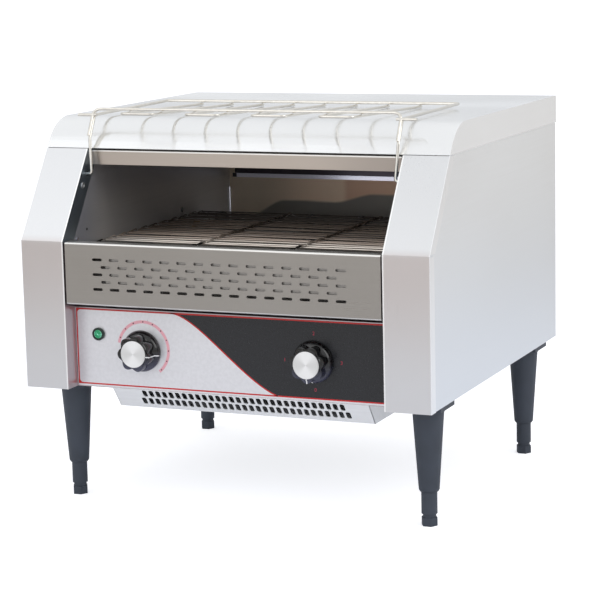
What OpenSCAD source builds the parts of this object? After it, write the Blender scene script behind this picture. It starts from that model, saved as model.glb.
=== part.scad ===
// Conveyor toaster: bread slides off the folding wire rack on to a wire belt, is carried back
// between two banks of quartz tubes, and drops on to a slide at the rear.
// X runs to the right, Y to the rear, Z up. The origin is on the floor, under the middle of the case.

/* [Case] */
// Width over the side lips
case_w = 468; // [440:1:500]
// Depth from the pillar faces to the rear edges
case_d = 444; // [430:1:480]
// Height of the top cover above the floor
case_top = 420; // [415:1:430]
// Height of the underside above the floor
base_z = 133; // [130:1:136]
// Height where the front pillars bend back
bend_z = 294.5; // [290:0.5:298]
// Height of the seam between pillars and top cover
seam_z = 388.5; // [386:0.5:391]
// Setback of the pillar face at the seam
seam_setback = 64.6; // [60:0.1:70]
// Width of each front pillar
pillar_w = 51; // [46:1:56]
// Outer radius of the cover's front bend
cover_r = 55; // [45:1:60]
// Thickness of the case sheet
sheet = 1; // [0.8:0.1:1.2]
// Width of the pillar lip that laps the side panel
lip_w = 13; // [8:1:18]

/* [Front] */
// Depth of the control panel behind the pillar faces
panel_recess = 22; // [20:1:24]
// Height of the control panel's printed face
panel_h = 86; // [80:1:90]
// Lower edge of the slotted front band
band_z0 = 226.5; // [225:0.5:228]
// Height of the slotted front band
band_h = 67.5; // [64:0.5:68]
// Slots in the long rows of the band
band_slots = 15; // [9:2:17]
// Distance between slots in a row
band_pitch = 20; // [18:1:20]
// Rows of slots in the band
band_rows = 5; // [3:2:5]
// Distance between the centres of the two knobs
knob_spacing = 200; // [180:1:210]
// Height of both knobs above the floor
knob_z = 176; // [172:1:180]
// Diameter of a knob's skirt
knob_d = 45; // [42:1:48]
// Lobes round a knob's grip
knob_lobes = 7; // [6:1:9]
// Diameter of a knob's spun cap
knob_cap_d = 28.8; // [24:0.2:30]

/* [Belt] */
// Distance between belt strands
belt_pitch = 8; // [8:0.5:9]
// Strands around half of a shaft
belt_wrap = 8; // [7:1:8]
// Strand pitches between the two shafts
belt_run = 34; // [30:1:34]
// Height of the shafts above the floor
shaft_z = 264.5; // [262:0.5:266]
// Place of the front shaft
shaft_front_y = -166; // [-168:1:-160]
// Wire diameter of the belt
belt_wire = 2; // [1.6:0.1:2.2]
// Half of the belt's width
belt_half_w = 178; // [170:1:179]

/* [Rack] */
// Place of the hooks that the rack turns on
hook_y = -163; // [-164:1:-162]
// Height of the hooks
hook_z = 361.5; // [359:0.5:364]
// Wire diameter of the rack's frame
rack_wire = 4; // [3.5:0.1:4.2]
// Wire diameter of the slats
slat_wire = 3; // [2.5:0.1:3.2]
// Distance between slats
slat_pitch = 38.4; // [34:0.1:40]
// Place of the rack's rear wire when folded back
rack_back_y = 31.5; // [20:0.5:60]

/* [Legs] */
// Distance of the leg centres from the middle, across
leg_x = 208; // [200:1:210]
// Place of the front legs
leg_front_y = -160; // [-175:1:-150]
// Place of the rear legs
leg_rear_y = 172; // [160:1:190]
// Diameter of the leg under its flange
leg_top_d = 34; // [30:1:38]
// Diameter of the leg at its lower end
leg_tip_d = 22; // [20:1:24]
// Height of the lower end of the leg
foot_h = 37; // [33:1:40]

/* [Hidden] */

$fn = 48;
front_y = -case_d / 2;
rear_y = case_d / 2;
side_x = case_w / 2;
open_x = side_x - pillar_w;
plate_x = side_x - sheet;
lean = seam_setback / (seam_z - bend_z);
lean_len = sqrt(1 + lean * lean);
fit = 0.1;
run_fit = 0.05;

// A point of the leaning front face at height z, set in by t
function lean_y(z, t = 0) = front_y + lean * (z - bend_z) + t * lean_len;
function bend_at(t) = bend_z - t * (lean_len - 1) / lean;

// A side view drawn as Y against Z, from x0 to x1
module across(x0, x1) translate([x0, 0, 0]) rotate([90, 0, 90]) linear_extrude(x1 - x0) children();
// A front view drawn as X against Z, from y0 to y1
module along(y0, y1) translate([0, y1, 0]) rotate([90, 0, 0]) linear_extrude(y1 - y0) children();
module box(lo, hi) translate(lo) cube(hi - lo);
module both_sides() { children(); mirror([1, 0, 0]) children(); }
module rod_x(x0, x1, y, z, r) translate([x0, y, z]) rotate([0, 90, 0]) cylinder(h = x1 - x0, r = r);
module rod_y(y0, y1, x, z, r) translate([x, y0, z]) rotate([-90, 0, 0]) cylinder(h = y1 - y0, r = r);
// A slot with round ends, w long in all and h wide
module slot(w, h) {
    square([w - h, h], center = true);
    for (s = [-1, 1]) translate([s * (w - h) / 2, 0]) circle(d = h);
}

// ---- Case -------------------------------------------------------------------------------------
fan_x = 10;
fan_y = -125;
fan_size = 92;
stud_r = 3;
ear_y = front_y + sheet + 0.2;
panel_y = front_y + panel_recess;
base_x = plate_x - sheet - fit;
inner_x = open_x + sheet;
// Rear edge of the pillars' inner flanges
return_d = 25;
return_y = front_y + sheet + return_d;

module base_plate() color("silver") difference() {
    union() {
        box([-base_x, panel_y + sheet, base_z], [base_x, rear_y - 0.5, base_z + sheet]);
        both_sides() box([inner_x + 0.2, ear_y, base_z], [base_x, panel_y + sheet, base_z + sheet]);
    }
    translate([fan_x, fan_y, base_z - 1]) cylinder(h = 3, d = fan_size - 6);
    for (p = leg_places) translate([p.x, p.y, base_z - 1]) cylinder(h = 3, r = stud_r + 0.25);
    both_sides() box([open_x - fit, panel_y, base_z - 1], [inner_x + fit, return_y + fit, base_z + 2]);
}

cover_lap_z = case_top - 20;
flange_w = 14;

module side_panel() color("gainsboro") {
    across(plate_x - sheet, plate_x) polygon([[front_y + sheet, base_z], [front_y + sheet, bend_at(sheet)],
        [lean_y(seam_z - 1, sheet), seam_z - 1], [lean_y(cover_lap_z, 4), cover_lap_z],
        [rear_y - 2, cover_lap_z], [rear_y - 2, seam_z - 1], [rear_y, seam_z - 1], [rear_y, base_z]]);
    box([plate_x - sheet - flange_w, panel_y + 6, base_z + sheet],
        [plate_x - sheet, rear_y - 10, base_z + 2 * sheet]);
}
module side_panel_right() side_panel();
module side_panel_left() mirror([1, 0, 0]) side_panel();

seam_gap = 0.6;
pillar_top = seam_z - seam_gap / 2;
// Half height of the gap in the lip at the bend
notch = 1;

module front_pillar() color("whitesmoke") {
    half = sheet / 2;
    across(open_x, side_x) polygon([[front_y, base_z], [front_y, bend_z],
        [lean_y(pillar_top), pillar_top], [lean_y(pillar_top, sheet), pillar_top],
        [front_y + sheet, bend_at(sheet)], [front_y + sheet, base_z]]);
    difference() {
        across(open_x, open_x + sheet) polygon([[front_y + half, base_z], [front_y + half, bend_at(half)],
            [lean_y(pillar_top, half), pillar_top], [lean_y(pillar_top, sheet) + return_d, pillar_top],
            [return_y, bend_at(sheet)], [return_y, base_z]]);
        rod_x(open_x - 1, open_x + 2, hook_y, hook_z, hook_hole_r);
        rod_x(open_x - 1, open_x + 2, spare_hole.x, spare_hole.y, 2.5);
    }
    across(plate_x, side_x) {
        polygon([[front_y + half, base_z], [front_y + half, bend_z - notch],
            [front_y + lip_w, bend_z - notch], [front_y + lip_w, base_z]]);
        polygon([[lean_y(bend_z + notch, half), bend_z + notch], [lean_y(pillar_top, half), pillar_top],
            [lean_y(pillar_top, lip_w), pillar_top], [lean_y(bend_z + notch, lip_w), bend_z + notch]]);
    }
}
module front_pillar_right() front_pillar();
module front_pillar_left() mirror([1, 0, 0]) front_pillar();

// The cover's section, set in by t, down to height z0
module cover_block(t, z0) {
    zc = case_top - t;
    yc = lean_y(zc, t);
    r = cover_r - t;
    tangent = r * tan(atan(1 / lean) / 2);
    x = side_x - t;
    difference() {
        across(-x, x) polygon([[lean_y(z0, t), z0], [yc, zc], [rear_y - t, zc], [rear_y - t, z0]]);
        difference() {
            across(-x - 1, x + 1) polygon([[yc - 1, zc + 1], [yc - tangent * lean / lean_len - 1, zc + 1],
                [yc - tangent * lean / lean_len - 1, zc - tangent / lean_len],
                [yc - tangent * lean / lean_len, zc - tangent / lean_len],
                [yc + tangent, zc - r], [yc + tangent, zc + 1]]);
            rod_x(-x - 2, x + 2, yc + tangent, zc - r, r);
        }
    }
}

module top_cover() color("whitesmoke") {
    cover_z0 = seam_z + seam_gap / 2;
    difference() {
        cover_block(0, cover_z0);
        cover_block(sheet, cover_z0 - 5);
    }
    box([-open_x, lean_y(cover_z0 + sheet, sheet) - 0.5, cover_z0],
        [open_x, lean_y(cover_z0, sheet) + 6, cover_z0 + sheet]);
}

back_y = rear_y - 8;
back_top = case_top - 25;
exit_x = 172;
exit_z1 = 237;
vent_w = 40;
inlet_x = -208;
inlet_z = 168;
inlet_hole_r = 8;
screw_places = [for (x = [-218, 218]) for (z = [150, 270, 380]) [x, z], [-90, 385], [90, 385]];

module back_panel() color("silver") {
    difference() {
        box([-plate_x + sheet, back_y, base_z + sheet], [plate_x - sheet, back_y + sheet, back_top]);
        box([-exit_x, back_y - 1, base_z], [exit_x, back_y + 2, exit_z1]);
        rod_y(back_y - 1, back_y + 2, inlet_x, inlet_z, inlet_hole_r);
        for (p = screw_places) rod_y(back_y - 1, back_y + 2, p.x, p.y, 2.1);
        along(back_y - 1, back_y + 2) for (x = [-2:2]) for (z = [0:4])
            translate([x * 56, 290 + z * 15]) slot(vent_w, 5);
    }
    both_sides() box([plate_x - 2 * sheet, back_y + sheet, base_z + sheet],
        [plate_x - sheet, rear_y - 1, seam_z - 2]);
    both_sides() box([exit_x, back_y + sheet, base_z + sheet], [exit_x + sheet, back_y + 6, exit_z1]);
    box([-exit_x - sheet, back_y + sheet, exit_z1], [exit_x + sheet, back_y + 6, exit_z1 + sheet]);
}

module back_panel_screws() color("gray") for (p = screw_places) {
    rod_y(back_y - 5, back_y + sheet, p.x, p.y, 2);
    difference() {
        rod_y(back_y + sheet, back_y + sheet + 2.2, p.x, p.y, 3.8);
        box([p.x - 2.6, back_y + sheet + 1.2, p.y - 0.5], [p.x + 2.6, back_y + sheet + 3, p.y + 0.5]);
        box([p.x - 0.5, back_y + sheet + 1.2, p.y - 2.6], [p.x + 0.5, back_y + sheet + 3, p.y + 2.6]);
    }
}

band_y = front_y + 0.8;
band_x = open_x - 2;
band_d = 13;
band_edge_r = 2.2;
band_row_step = 8;
band_top_row = 276.5;

// The band's side view with its folded edges, set in by t
module band_side(t) {
    r = band_edge_r - t;
    y0 = band_y + t;
    z0 = band_z0 + t;
    z1 = band_z0 + band_h - t;
    for (z = [z0 + r, z1 - r]) translate([y0 + r, z]) circle(r);
    translate([y0 + r, z0]) square([band_d + 2 * t - r, z1 - z0]);
    translate([y0, z0 + r]) square([r, z1 - z0 - 2 * r]);
}

module front_band() color("darkgray") {
    difference() {
        across(-band_x, band_x) band_side(0);
        across(-band_x - 1, band_x + 1) band_side(sheet);
        along(band_y - 1, band_y + 2) for (row = [0:band_rows - 1]) {
            n = band_slots - row % 2;
            for (i = [0:n - 1])
                translate([(i - (n - 1) / 2) * band_pitch, band_top_row - row * band_row_step]) slot(10, 3);
        }
    }
    both_sides() box([band_x - sheet, band_y + sheet, band_z0 + band_edge_r],
        [band_x, band_y + band_d, band_z0 + band_h - band_edge_r]);
    for (z = [band_z0 + 15, band_z0 + band_h - 15]) both_sides() rod_x(band_x, open_x, band_y + 8, z, 3);
}

bay_wall_y = band_y + band_d + 1;
bay_wall_z = [band_z0 + 3, 279];
// The part of the bay's front wall that steps forward, close behind the slots
step_y = band_y + sheet + 2;
step_z = 248;
step_x = [-134, 152];

module bay_front_wall() color("dimgray") {
    difference() {
        box([-open_x + fit, bay_wall_y, bay_wall_z[0]], [open_x - fit, bay_wall_y + sheet, bay_wall_z[1]]);
        box([step_x[0], bay_wall_y - 1, step_z + sheet], [step_x[1], bay_wall_y + 2, bay_wall_z[1] + 1]);
    }
    box([step_x[0], step_y, step_z], [step_x[1], bay_wall_y, step_z + sheet]);
    box([step_x[0], step_y, step_z], [step_x[1], step_y + sheet, bay_wall_z[1]]);
}

lintel_y = -152;
lintel_z0 = 370.5;
lintel_h = 15.5;

module lintel() color("tan") difference() {
    box([-open_x + fit, lintel_y, lintel_z0], [open_x - fit, lintel_y + 18, lintel_z0 + lintel_h]);
    box([-open_x, lintel_y + sheet, lintel_z0 + sheet],
        [open_x, lintel_y + 19, lintel_z0 + lintel_h - sheet]);
}

// ---- Toasting chamber -------------------------------------------------------------------------
wall_x = inner_x;
wall_top = 397;
hook_hole_r = rack_wire / 2 + run_fit;
bearing_r = 11;
spare_hole = [-173, 350];
upper_tube_z = 377;
lower_tube_z = 260;
tube_r = 4.5;
upper_tubes = [-105, -50, 5, 60, 115];
lower_tubes = [-95, -50, -5, 40];
tube_places = concat([for (y = upper_tubes) [y, upper_tube_z]], [for (y = lower_tubes) [y, lower_tube_z]]);
shaft_back_y = shaft_front_y + belt_run * belt_pitch;
shafts = [shaft_front_y, shaft_back_y];

module chamber_wall(holes = []) color("dimgray") difference() {
    across(wall_x, wall_x + sheet) polygon([[front_y + 7, base_z + sheet], [front_y + 7, bend_z - 4],
        [lean_y(seam_z - 4, 6), seam_z - 4], [-128, wall_top], [back_y, wall_top], [back_y, base_z + sheet]]);
    for (p = tube_places) rod_x(wall_x - 1, wall_x + 2, p.x, p.y, tube_r + 1);
    for (y = shafts) rod_x(wall_x - 1, wall_x + 2, y, shaft_z, bearing_r + 0.05);
    rod_x(wall_x - 1, wall_x + 2, hook_y, hook_z, hook_hole_r);
    rod_x(wall_x - 1, wall_x + 2, 70, 292, 3);
    rod_x(wall_x - 1, wall_x + 2, spare_hole.x, spare_hole.y, 2.5);
    for (p = holes) rod_x(wall_x - 1, wall_x + 2, p.x, p.y, 8);
}
module chamber_wall_right() chamber_wall([motor_at]);
module chamber_wall_left() mirror([1, 0, 0]) chamber_wall();

rear_wall_y = 206;
baffle_z = 317;

module rear_wall() color("rosybrown") {
    box([-wall_x + fit, rear_wall_y, exit_z1 + 2], [wall_x - fit, rear_wall_y + sheet, wall_top]);
    box([-wall_x + fit, rear_wall_y + sheet, exit_z1 + 2], [wall_x - fit, back_y, exit_z1 + 2 + sheet]);
}

module rear_baffle() color("lightsteelblue") {
    box([-176, rear_wall_y - sheet, baffle_z], [176, rear_wall_y, wall_top]);
    box([-176, rear_wall_y - 7, baffle_z], [176, rear_wall_y - sheet, baffle_z + sheet]);
    box([-176, rear_wall_y - 8, baffle_z], [176, rear_wall_y - 7, baffle_z + 5]);
}

module upper_reflector() color("lightgray") {
    box([-wall_x - sheet, -126, wall_top], [wall_x + sheet, rear_wall_y + sheet, wall_top + sheet]);
    box([-wall_x + 4, -127, wall_top - 9], [wall_x - 4, -126, wall_top + sheet]);
}

module lower_reflector() color("lightgray") {
    y0 = shaft_front_y + 31;
    y1 = shaft_back_y - 31;
    box([-wall_x + fit, y0, 249], [wall_x - fit, y1, 249 + sheet]);
    for (y = [y0, y1 - sheet]) box([-wall_x + fit, y, 249 + sheet], [wall_x - fit, y + sheet, 257]);
}

tube_end = wall_x + 9;

module heater_tubes_upper() color("mistyrose")
    for (y = upper_tubes) rod_x(-tube_end, tube_end, y, upper_tube_z, tube_r);
module heater_tubes_lower() color("mistyrose")
    for (y = lower_tubes) rod_x(-tube_end, tube_end, y, lower_tube_z, tube_r);

// Ceramic cups that close the ends of the quartz tubes, each with its terminal tab
module heater_caps() color("ivory") both_sides() for (p = tube_places) {
    difference() {
        union() {
            rod_x(wall_x + sheet, wall_x + 3.5, p.x, p.y, 8);
            rod_x(wall_x + 3.5, tube_end + 4, p.x, p.y, 6.5);
        }
        rod_x(wall_x, tube_end, p.x, p.y, tube_r);
    }
    box([tube_end + 4, p.x - 3, p.y - 0.4], [tube_end + 12, p.x + 3, p.y + 0.4]);
}

strand_r = belt_wire / 2;
wheel_teeth = 2 * belt_wrap;
wheel_r = belt_pitch / 2 / sin(180 / wheel_teeth);
belt_top = shaft_z + wheel_r;

module belt_support() color("gray") {
    for (x = [-110, 0, 110]) box([x - 1.5, shaft_front_y + 27, belt_top - strand_r - 11],
        [x + 1.5, shaft_back_y - 27, belt_top - strand_r - 0.2]);
    for (y = [shaft_front_y + 46, shaft_back_y - 46]) box([-wall_x + fit, y - 4, belt_top - strand_r - 17],
        [wall_x - fit, y + 4, belt_top - strand_r - 11]);
}

// ---- Wire belt --------------------------------------------------------------------------------
belt_count = 2 * (belt_run + belt_wrap);
wrap_step = 180 / belt_wrap;
joint_lines = [-174, -58, 58, 174];

// Place of strand i: back along the top, round the rear shaft, forward below, round the front shaft
function strand_at(i) =
    i <= belt_run ? [shaft_front_y + i * belt_pitch, belt_top]
    : i <= belt_run + belt_wrap ? [shaft_back_y, shaft_z]
        + wheel_r * [sin((i - belt_run) * wrap_step), cos((i - belt_run) * wrap_step)]
    : i <= 2 * belt_run + belt_wrap
        ? [shaft_back_y - (i - belt_run - belt_wrap) * belt_pitch, shaft_z - wheel_r]
    : [shaft_front_y, shaft_z] - wheel_r
        * [sin((i - 2 * belt_run - belt_wrap) * wrap_step), cos((i - 2 * belt_run - belt_wrap) * wrap_step)];

// One strand: a cross wire whose flat hooks reach forward over the next strand
module strand(i) {
    here = strand_at(i);
    step = strand_at((i + 1) % belt_count) - here;
    side = i % 2 == 0 ? -1.4 : 1.4;
    translate([0, here.x, here.y]) rotate([atan2(step.y, step.x), 0, 0]) {
        rod_x(-belt_half_w, belt_half_w, 0, 0, strand_r);
        for (x = joint_lines) across(x + side - 0.9, x + side + 0.9) hook_outline();
    }
}
// A hook seen from the side: up from its own strand, over the next one and down behind it
module hook_outline() {
    over = strand_r + 0.15;
    top = over + 1.1;
    polygon([[0, -0.5], [belt_pitch - over - 0.4, over], [belt_pitch + over, over], [belt_pitch + over, -0.3],
        [belt_pitch + over + 0.9, -0.3], [belt_pitch + over + 0.9, over + 0.3], [belt_pitch + over, top],
        [belt_pitch - over - 0.6, top], [0, 0.6]]);
}

module wire_belt() color("lightslategray") for (i = [0:belt_count - 1]) strand(i);

wheel_lines = [-150, -32, 32, 150];
shaft_r = 6;

// A wheel's face drawn as Y against Z: round seats on radius r that open outwards, and a shaft hole
module toothed_disc(teeth, r, rim, seat_r, mouth, hole, thick)
    rotate([90, 0, 90]) linear_extrude(thick, center = true) difference() {
        circle(r + rim);
        circle(hole);
        for (i = [0:teeth - 1]) rotate(i * 360 / teeth) translate([r, 0]) {
            circle(seat_r, $fn = 24);
            polygon([[0.2, -seat_r + 0.02], [rim + 1, -mouth], [rim + 1, mouth], [0.2, seat_r - 0.02]]);
        }
    }
module hub(half, r, hole) rotate([0, 90, 0]) difference() {
    cylinder(h = 2 * half, r = r, center = true);
    cylinder(h = 2 * half + 2, r = hole, center = true);
}
module belt_wheel() {
    toothed_disc(wheel_teeth, wheel_r, 1.6, strand_r + 0.15, 2.4, shaft_r, 4);
    hub(7, 10, shaft_r);
}

module belt_wheels(y) color("gray") for (x = wheel_lines) translate([x, y, shaft_z]) belt_wheel();
module drive_sprockets() belt_wheels(shaft_back_y);
module idler_sprockets() belt_wheels(shaft_front_y);

bearing_out = 190;
chain_x = 206;
module drive_shaft() color("silver") rod_x(-bearing_out - 3, chain_x + 8, shaft_back_y, shaft_z, shaft_r);
module idler_shaft() color("silver")
    rod_x(-bearing_out - 3, bearing_out + 3, shaft_front_y, shaft_z, shaft_r);

module shaft_bearings() color("darkgoldenrod") both_sides() for (y = shafts) difference() {
    union() {
        rod_x(wall_x - 1.5, bearing_out, y, shaft_z, bearing_r);
        rod_x(wall_x + sheet, wall_x + sheet + 3, y, shaft_z, bearing_r + 4);
    }
    rod_x(wall_x - 2, bearing_out + 1, y, shaft_z, shaft_r + run_fit);
}

// ---- Chain drive ------------------------------------------------------------------------------
chain_pitch = 6.35;
small_teeth = 12;
large_teeth = 24;
chain_links = 66;
roller_r = 1.65;
roller_w = 3.1;
pin_r = 1.15;
plate_t = 0.75;
plate_h = 5.2;
small_r = chain_pitch / 2 / sin(180 / small_teeth);
large_r = chain_pitch / 2 / sin(180 / large_teeth);
// Degrees that a wheel turns for each millimetre of chain
small_rate = 360 / small_teeth / chain_pitch;
large_rate = 360 / large_teeth / chain_pitch;
// Length of a chain round both wheels when their centres are c apart
function wrap_angle(c) = asin((large_r - small_r) / c);
function chain_length(c) = 2 * c * cos(wrap_angle(c))
    + (180 + 2 * wrap_angle(c)) / large_rate + (180 - 2 * wrap_angle(c)) / small_rate;
function solve_centres(lo, hi, n) = n == 0 ? (lo + hi) / 2
    : chain_length((lo + hi) / 2) > chain_links * chain_pitch ? solve_centres(lo, (lo + hi) / 2, n - 1)
    : solve_centres((lo + hi) / 2, hi, n - 1);
centres = solve_centres(100, 220, 40);
motor_z = 176;
motor_at = [shaft_back_y - sqrt(pow(centres, 2) - pow(shaft_z - motor_z, 2)), motor_z];
chain_dir = atan2(shaft_z - motor_z, shaft_back_y - motor_at.x);
flare = wrap_angle(centres);
straight = centres * cos(flare);
// Turns of the two wheels that set their pockets on the chain's pins
small_phase = chain_dir + flare;
large_phase = chain_dir + flare - (ceil(straight / chain_pitch) * chain_pitch - straight) * large_rate;

module sprocket(teeth, r, phase, hub_r, hole) {
    rotate([phase, 0, 0]) toothed_disc(teeth, r, 1.9, roller_r + 0.25, 3.8, hole, 2.6);
    hub(6, hub_r, hole);
}

module chain_wheel() color("dimgray") translate([chain_x, shaft_back_y, shaft_z])
    sprocket(large_teeth, large_r, large_phase, 11, shaft_r);

motor_shaft_r = 4;
module motor_sprocket() color("dimgray") translate([chain_x, motor_at.x, motor_at.y])
    sprocket(small_teeth, small_r, small_phase, 8, motor_shaft_r);
module motor_shaft() color("silver") rod_x(165, chain_x + 8, motor_at.x, motor_at.y, motor_shaft_r);

// Distance s along the chain, measured in the chain's own plane with the motor at the origin
large_arc = (180 + 2 * flare) / large_rate;
function chain_at(s) =
    s < straight ? small_r * [-sin(flare), cos(flare)] + s * [cos(flare), sin(flare)]
    : s < straight + large_arc ? let (t = 90 + flare - (s - straight) * large_rate)
        [centres, 0] + large_r * [cos(t), sin(t)]
    : s < 2 * straight + large_arc ? let (d = s - straight - large_arc)
        [centres, 0] + large_r * [-sin(flare), -cos(flare)] + d * [-cos(flare), sin(flare)]
    : let (t = -90 - flare - (s - 2 * straight - large_arc) * small_rate) small_r * [cos(t), sin(t)];

module drive_chain() color("slategray") translate([chain_x, motor_at.x, motor_at.y]) rotate([chain_dir, 0, 0])
    for (i = [0:chain_links - 1]) {
        a = chain_at(i * chain_pitch);
        b = chain_at(((i + 1) % chain_links) * chain_pitch);
        translate([0, a.x, a.y]) rotate([90, 0, 90]) rotate(atan2(b.y - a.y, b.x - a.x))
            if (i % 2 == 0) roller_link(norm(b - a)); else pin_link(norm(b - a));
    }
// Links lie in the plane of the chain: rollers between two plates, and pins through two outer plates
module roller_link(l) difference() {
    union() {
        for (s = [-1, 1]) translate([l / 2, 0, s * (roller_w / 2 + plate_t / 2)])
            linear_extrude(plate_t, center = true) slot(l + plate_h, plate_h);
        for (p = [0, l]) translate([p, 0, 0]) cylinder(h = roller_w + plate_t, r = roller_r, center = true);
    }
    for (p = [0, l]) translate([p, 0, 0]) cylinder(h = 10, r = pin_r + run_fit, center = true, $fn = 24);
}
module pin_link(l) {
    out = roller_w / 2 + plate_t + 0.12;
    for (s = [-1, 1]) translate([l / 2, 0, s * (out + plate_t / 2)])
        linear_extrude(plate_t, center = true) slot(l + plate_h, plate_h);
    for (p = [0, l]) translate([p, 0, 0])
        cylinder(h = 2 * (out + plate_t + 0.3), r = pin_r, center = true, $fn = 24);
}

module gear_motor() color("darkslategray") {
    difference() {
        union() {
            box([122, motor_at.x - 34, motor_z - 34], [176, motor_at.x + 34, motor_z + 34]);
            rod_x(176, 180, motor_at.x, motor_z, 12);
        }
        rod_x(150, 182, motor_at.x, motor_z, motor_shaft_r + run_fit);
    }
    rod_x(52, 122, motor_at.x, motor_z, 30);
    rod_x(46, 52, motor_at.x, motor_z, 24);
    for (s = [-1, 1]) box([126, motor_at.x + s * 26 - 6, base_z + sheet],
        [172, motor_at.x + s * 26 + 6, motor_z - 34]);
}

// ---- Under the belt ---------------------------------------------------------------------------
split_y = 46;
floor_front_z = 236;
floor_back_z = 229;

module bay_floor() color("gray") across(-open_x + fit, open_x - fit) polygon([
    [bay_wall_y + sheet, floor_front_z], [split_y, floor_back_z], [split_y, floor_back_z - sheet],
    [bay_wall_y + sheet, floor_front_z - sheet]]);

module compartment_wall() color("gray")
    box([-wall_x + fit, split_y, base_z + sheet], [wall_x - fit, split_y + sheet, floor_back_z]);

slide_x = 168;
slide_top = [split_y + 2, floor_back_z - 2];
slide_knee = [rear_y - 24, 161];
slide_end = [rear_y - 2, 157];

module toast_slide() color("gainsboro") difference() {
    across(-slide_x, slide_x) polygon([slide_top, slide_knee, slide_end, slide_end + [0, 9],
        slide_end + [sheet, 9], slide_end + [sheet, -sheet], slide_knee - [0, sheet],
        slide_top - [0, sheet]]);
    for (i = [-4:4]) for (y = [90, 130, 170]) translate([i * 34, y, 150]) linear_extrude(80)
        rotate(90) slot(26, 5);
}

tray_x = 150;
tray_y0 = split_y + 4;
tray_y1 = rear_y - 6;
tray_z0 = base_z + 2.3;
tray_h = 14;

module crumb_tray() color("silver") {
    difference() {
        box([-tray_x, tray_y0, tray_z0], [tray_x, tray_y1, tray_z0 + tray_h]);
        box([-tray_x + sheet, tray_y0 + sheet, tray_z0 + sheet],
            [tray_x - sheet, tray_y1 - sheet, tray_z0 + tray_h + 1]);
    }
    difference() {
        box([-50, tray_y1, tray_z0 + tray_h - 5], [50, rear_y, tray_z0 + tray_h]);
        box([-49, tray_y1 - 0.5, tray_z0 + tray_h - 6], [49, rear_y - sheet, tray_z0 + tray_h - sheet]);
    }
}

module tray_runners() color("gray") both_sides() {
    box([tray_x - 14, tray_y0, base_z + sheet], [tray_x + 2, back_y - 1, base_z + 2 * sheet]);
    box([tray_x + 1, tray_y0, base_z + 2 * sheet], [tray_x + 2, back_y - 1, base_z + 14]);
}

// ---- Control panel ----------------------------------------------------------------------------
knobs_mid_x = -3;
speed_x = knobs_mid_x - knob_spacing / 2;
switch_x = knobs_mid_x + knob_spacing / 2;
lamp_at = [-154.5, 192];
bush_hole = 5;
face_y = panel_y - 0.5;
panel_top = base_z + panel_h + 1.5;

module control_panel() color("silver") difference() {
    union() {
        box([-open_x + fit, panel_y, base_z], [open_x - fit, panel_y + sheet, panel_top]);
        box([-open_x + fit, panel_y + sheet, panel_top - sheet], [open_x - fit, panel_y + 10, panel_top]);
    }
    for (x = [speed_x, switch_x]) rod_y(panel_y - 1, panel_y + 2, x, knob_z, bush_hole);
    rod_y(panel_y - 1, panel_y + 2, lamp_at.x, lamp_at.y, 5);
}

module panel_overlay() color("gainsboro") difference() {
    box([-open_x + 0.6, face_y, base_z + 1], [open_x - 0.6, panel_y, base_z + panel_h]);
    for (x = [speed_x, switch_x]) rod_y(face_y - 1, panel_y + 1, x, knob_z, bush_hole);
    rod_y(face_y - 1, panel_y + 1, lamp_at.x, lamp_at.y, 5);
}

module lamp_bezel() color("darkslategray") difference() {
    union() {
        rod_y(face_y - 2.5, face_y, lamp_at.x, lamp_at.y, 7);
        rod_y(face_y, panel_y + 22, lamp_at.x, lamp_at.y, 4.9);
    }
    rod_y(face_y - 3, face_y + 8, lamp_at.x, lamp_at.y, 4.5);
}
module lamp_lens() color("seagreen") {
    rod_y(face_y - 2.2, face_y + 8, lamp_at.x, lamp_at.y, 4.5);
    intersection() {
        translate([lamp_at.x, face_y + 5.5, lamp_at.y]) sphere(9);
        rod_y(face_y - 4, face_y - 2.2, lamp_at.x, lamp_at.y, 4.5);
    }
}

spindle_r = 3;
skirt_y = face_y - 0.6;
cap_y = front_y + 1;
grip_r = 16.8;
valley_r = 15.2;
flute_r = 6;
// The skirt's dome: radius of its arc, and where the arc starts above the back of the knob
dome_r = 9.3;
dome_z = 1.4;

// A knob on its spindle, drawn about its own axis along Y
module knob() {
    h = skirt_y - cap_y;
    difference() {
        translate([0, skirt_y, 0]) rotate([90, 0, 0]) {
            rotate_extrude() knob_skirt();
            difference() {
                union() {
                    translate([0, 0, 4]) cylinder(h = h - 5, r1 = grip_r + 0.8, r2 = grip_r);
                    translate([0, 0, h - 1]) cylinder(h = 1, r1 = grip_r, r2 = grip_r - 0.9);
                }
                for (i = [0:knob_lobes - 1]) rotate((i + 0.5) * 360 / knob_lobes - 90)
                    translate([valley_r + flute_r, 0, 3]) cylinder(h = h, r = flute_r);
            }
        }
        rod_y(cap_y + 3, skirt_y + 1, 0, 0, 10);
    }
    difference() {
        rod_y(cap_y + 3, skirt_y, 0, 0, 6);
        rod_y(cap_y + 4, skirt_y + 1, 0, 0, spindle_r);
    }
    rod_y(cap_y + 4, panel_y + 14, 0, 0, spindle_r);
}
// Half of the skirt's section: a plain rim under a dome that runs in under the grip
module knob_skirt() {
    rim_r = knob_d / 2;
    middle = [rim_r - sqrt(pow(dome_r, 2) - pow(dome_z + 1, 2)), -1];
    square([rim_r, dome_z]);
    intersection() {
        translate(middle) circle(dome_r);
        translate([middle.x, dome_z - 0.1]) square([dome_r, dome_r]);
    }
    translate([0, dome_z - 0.1]) square([middle.x + 0.1, dome_r - dome_z - 1]);
}
module knob_cap() {
    rod_y(front_y + 0.3, cap_y, 0, 0, knob_cap_d / 2);
    rod_y(front_y, front_y + 0.3, 0, 0, knob_cap_d / 2 - 1);
}

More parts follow.
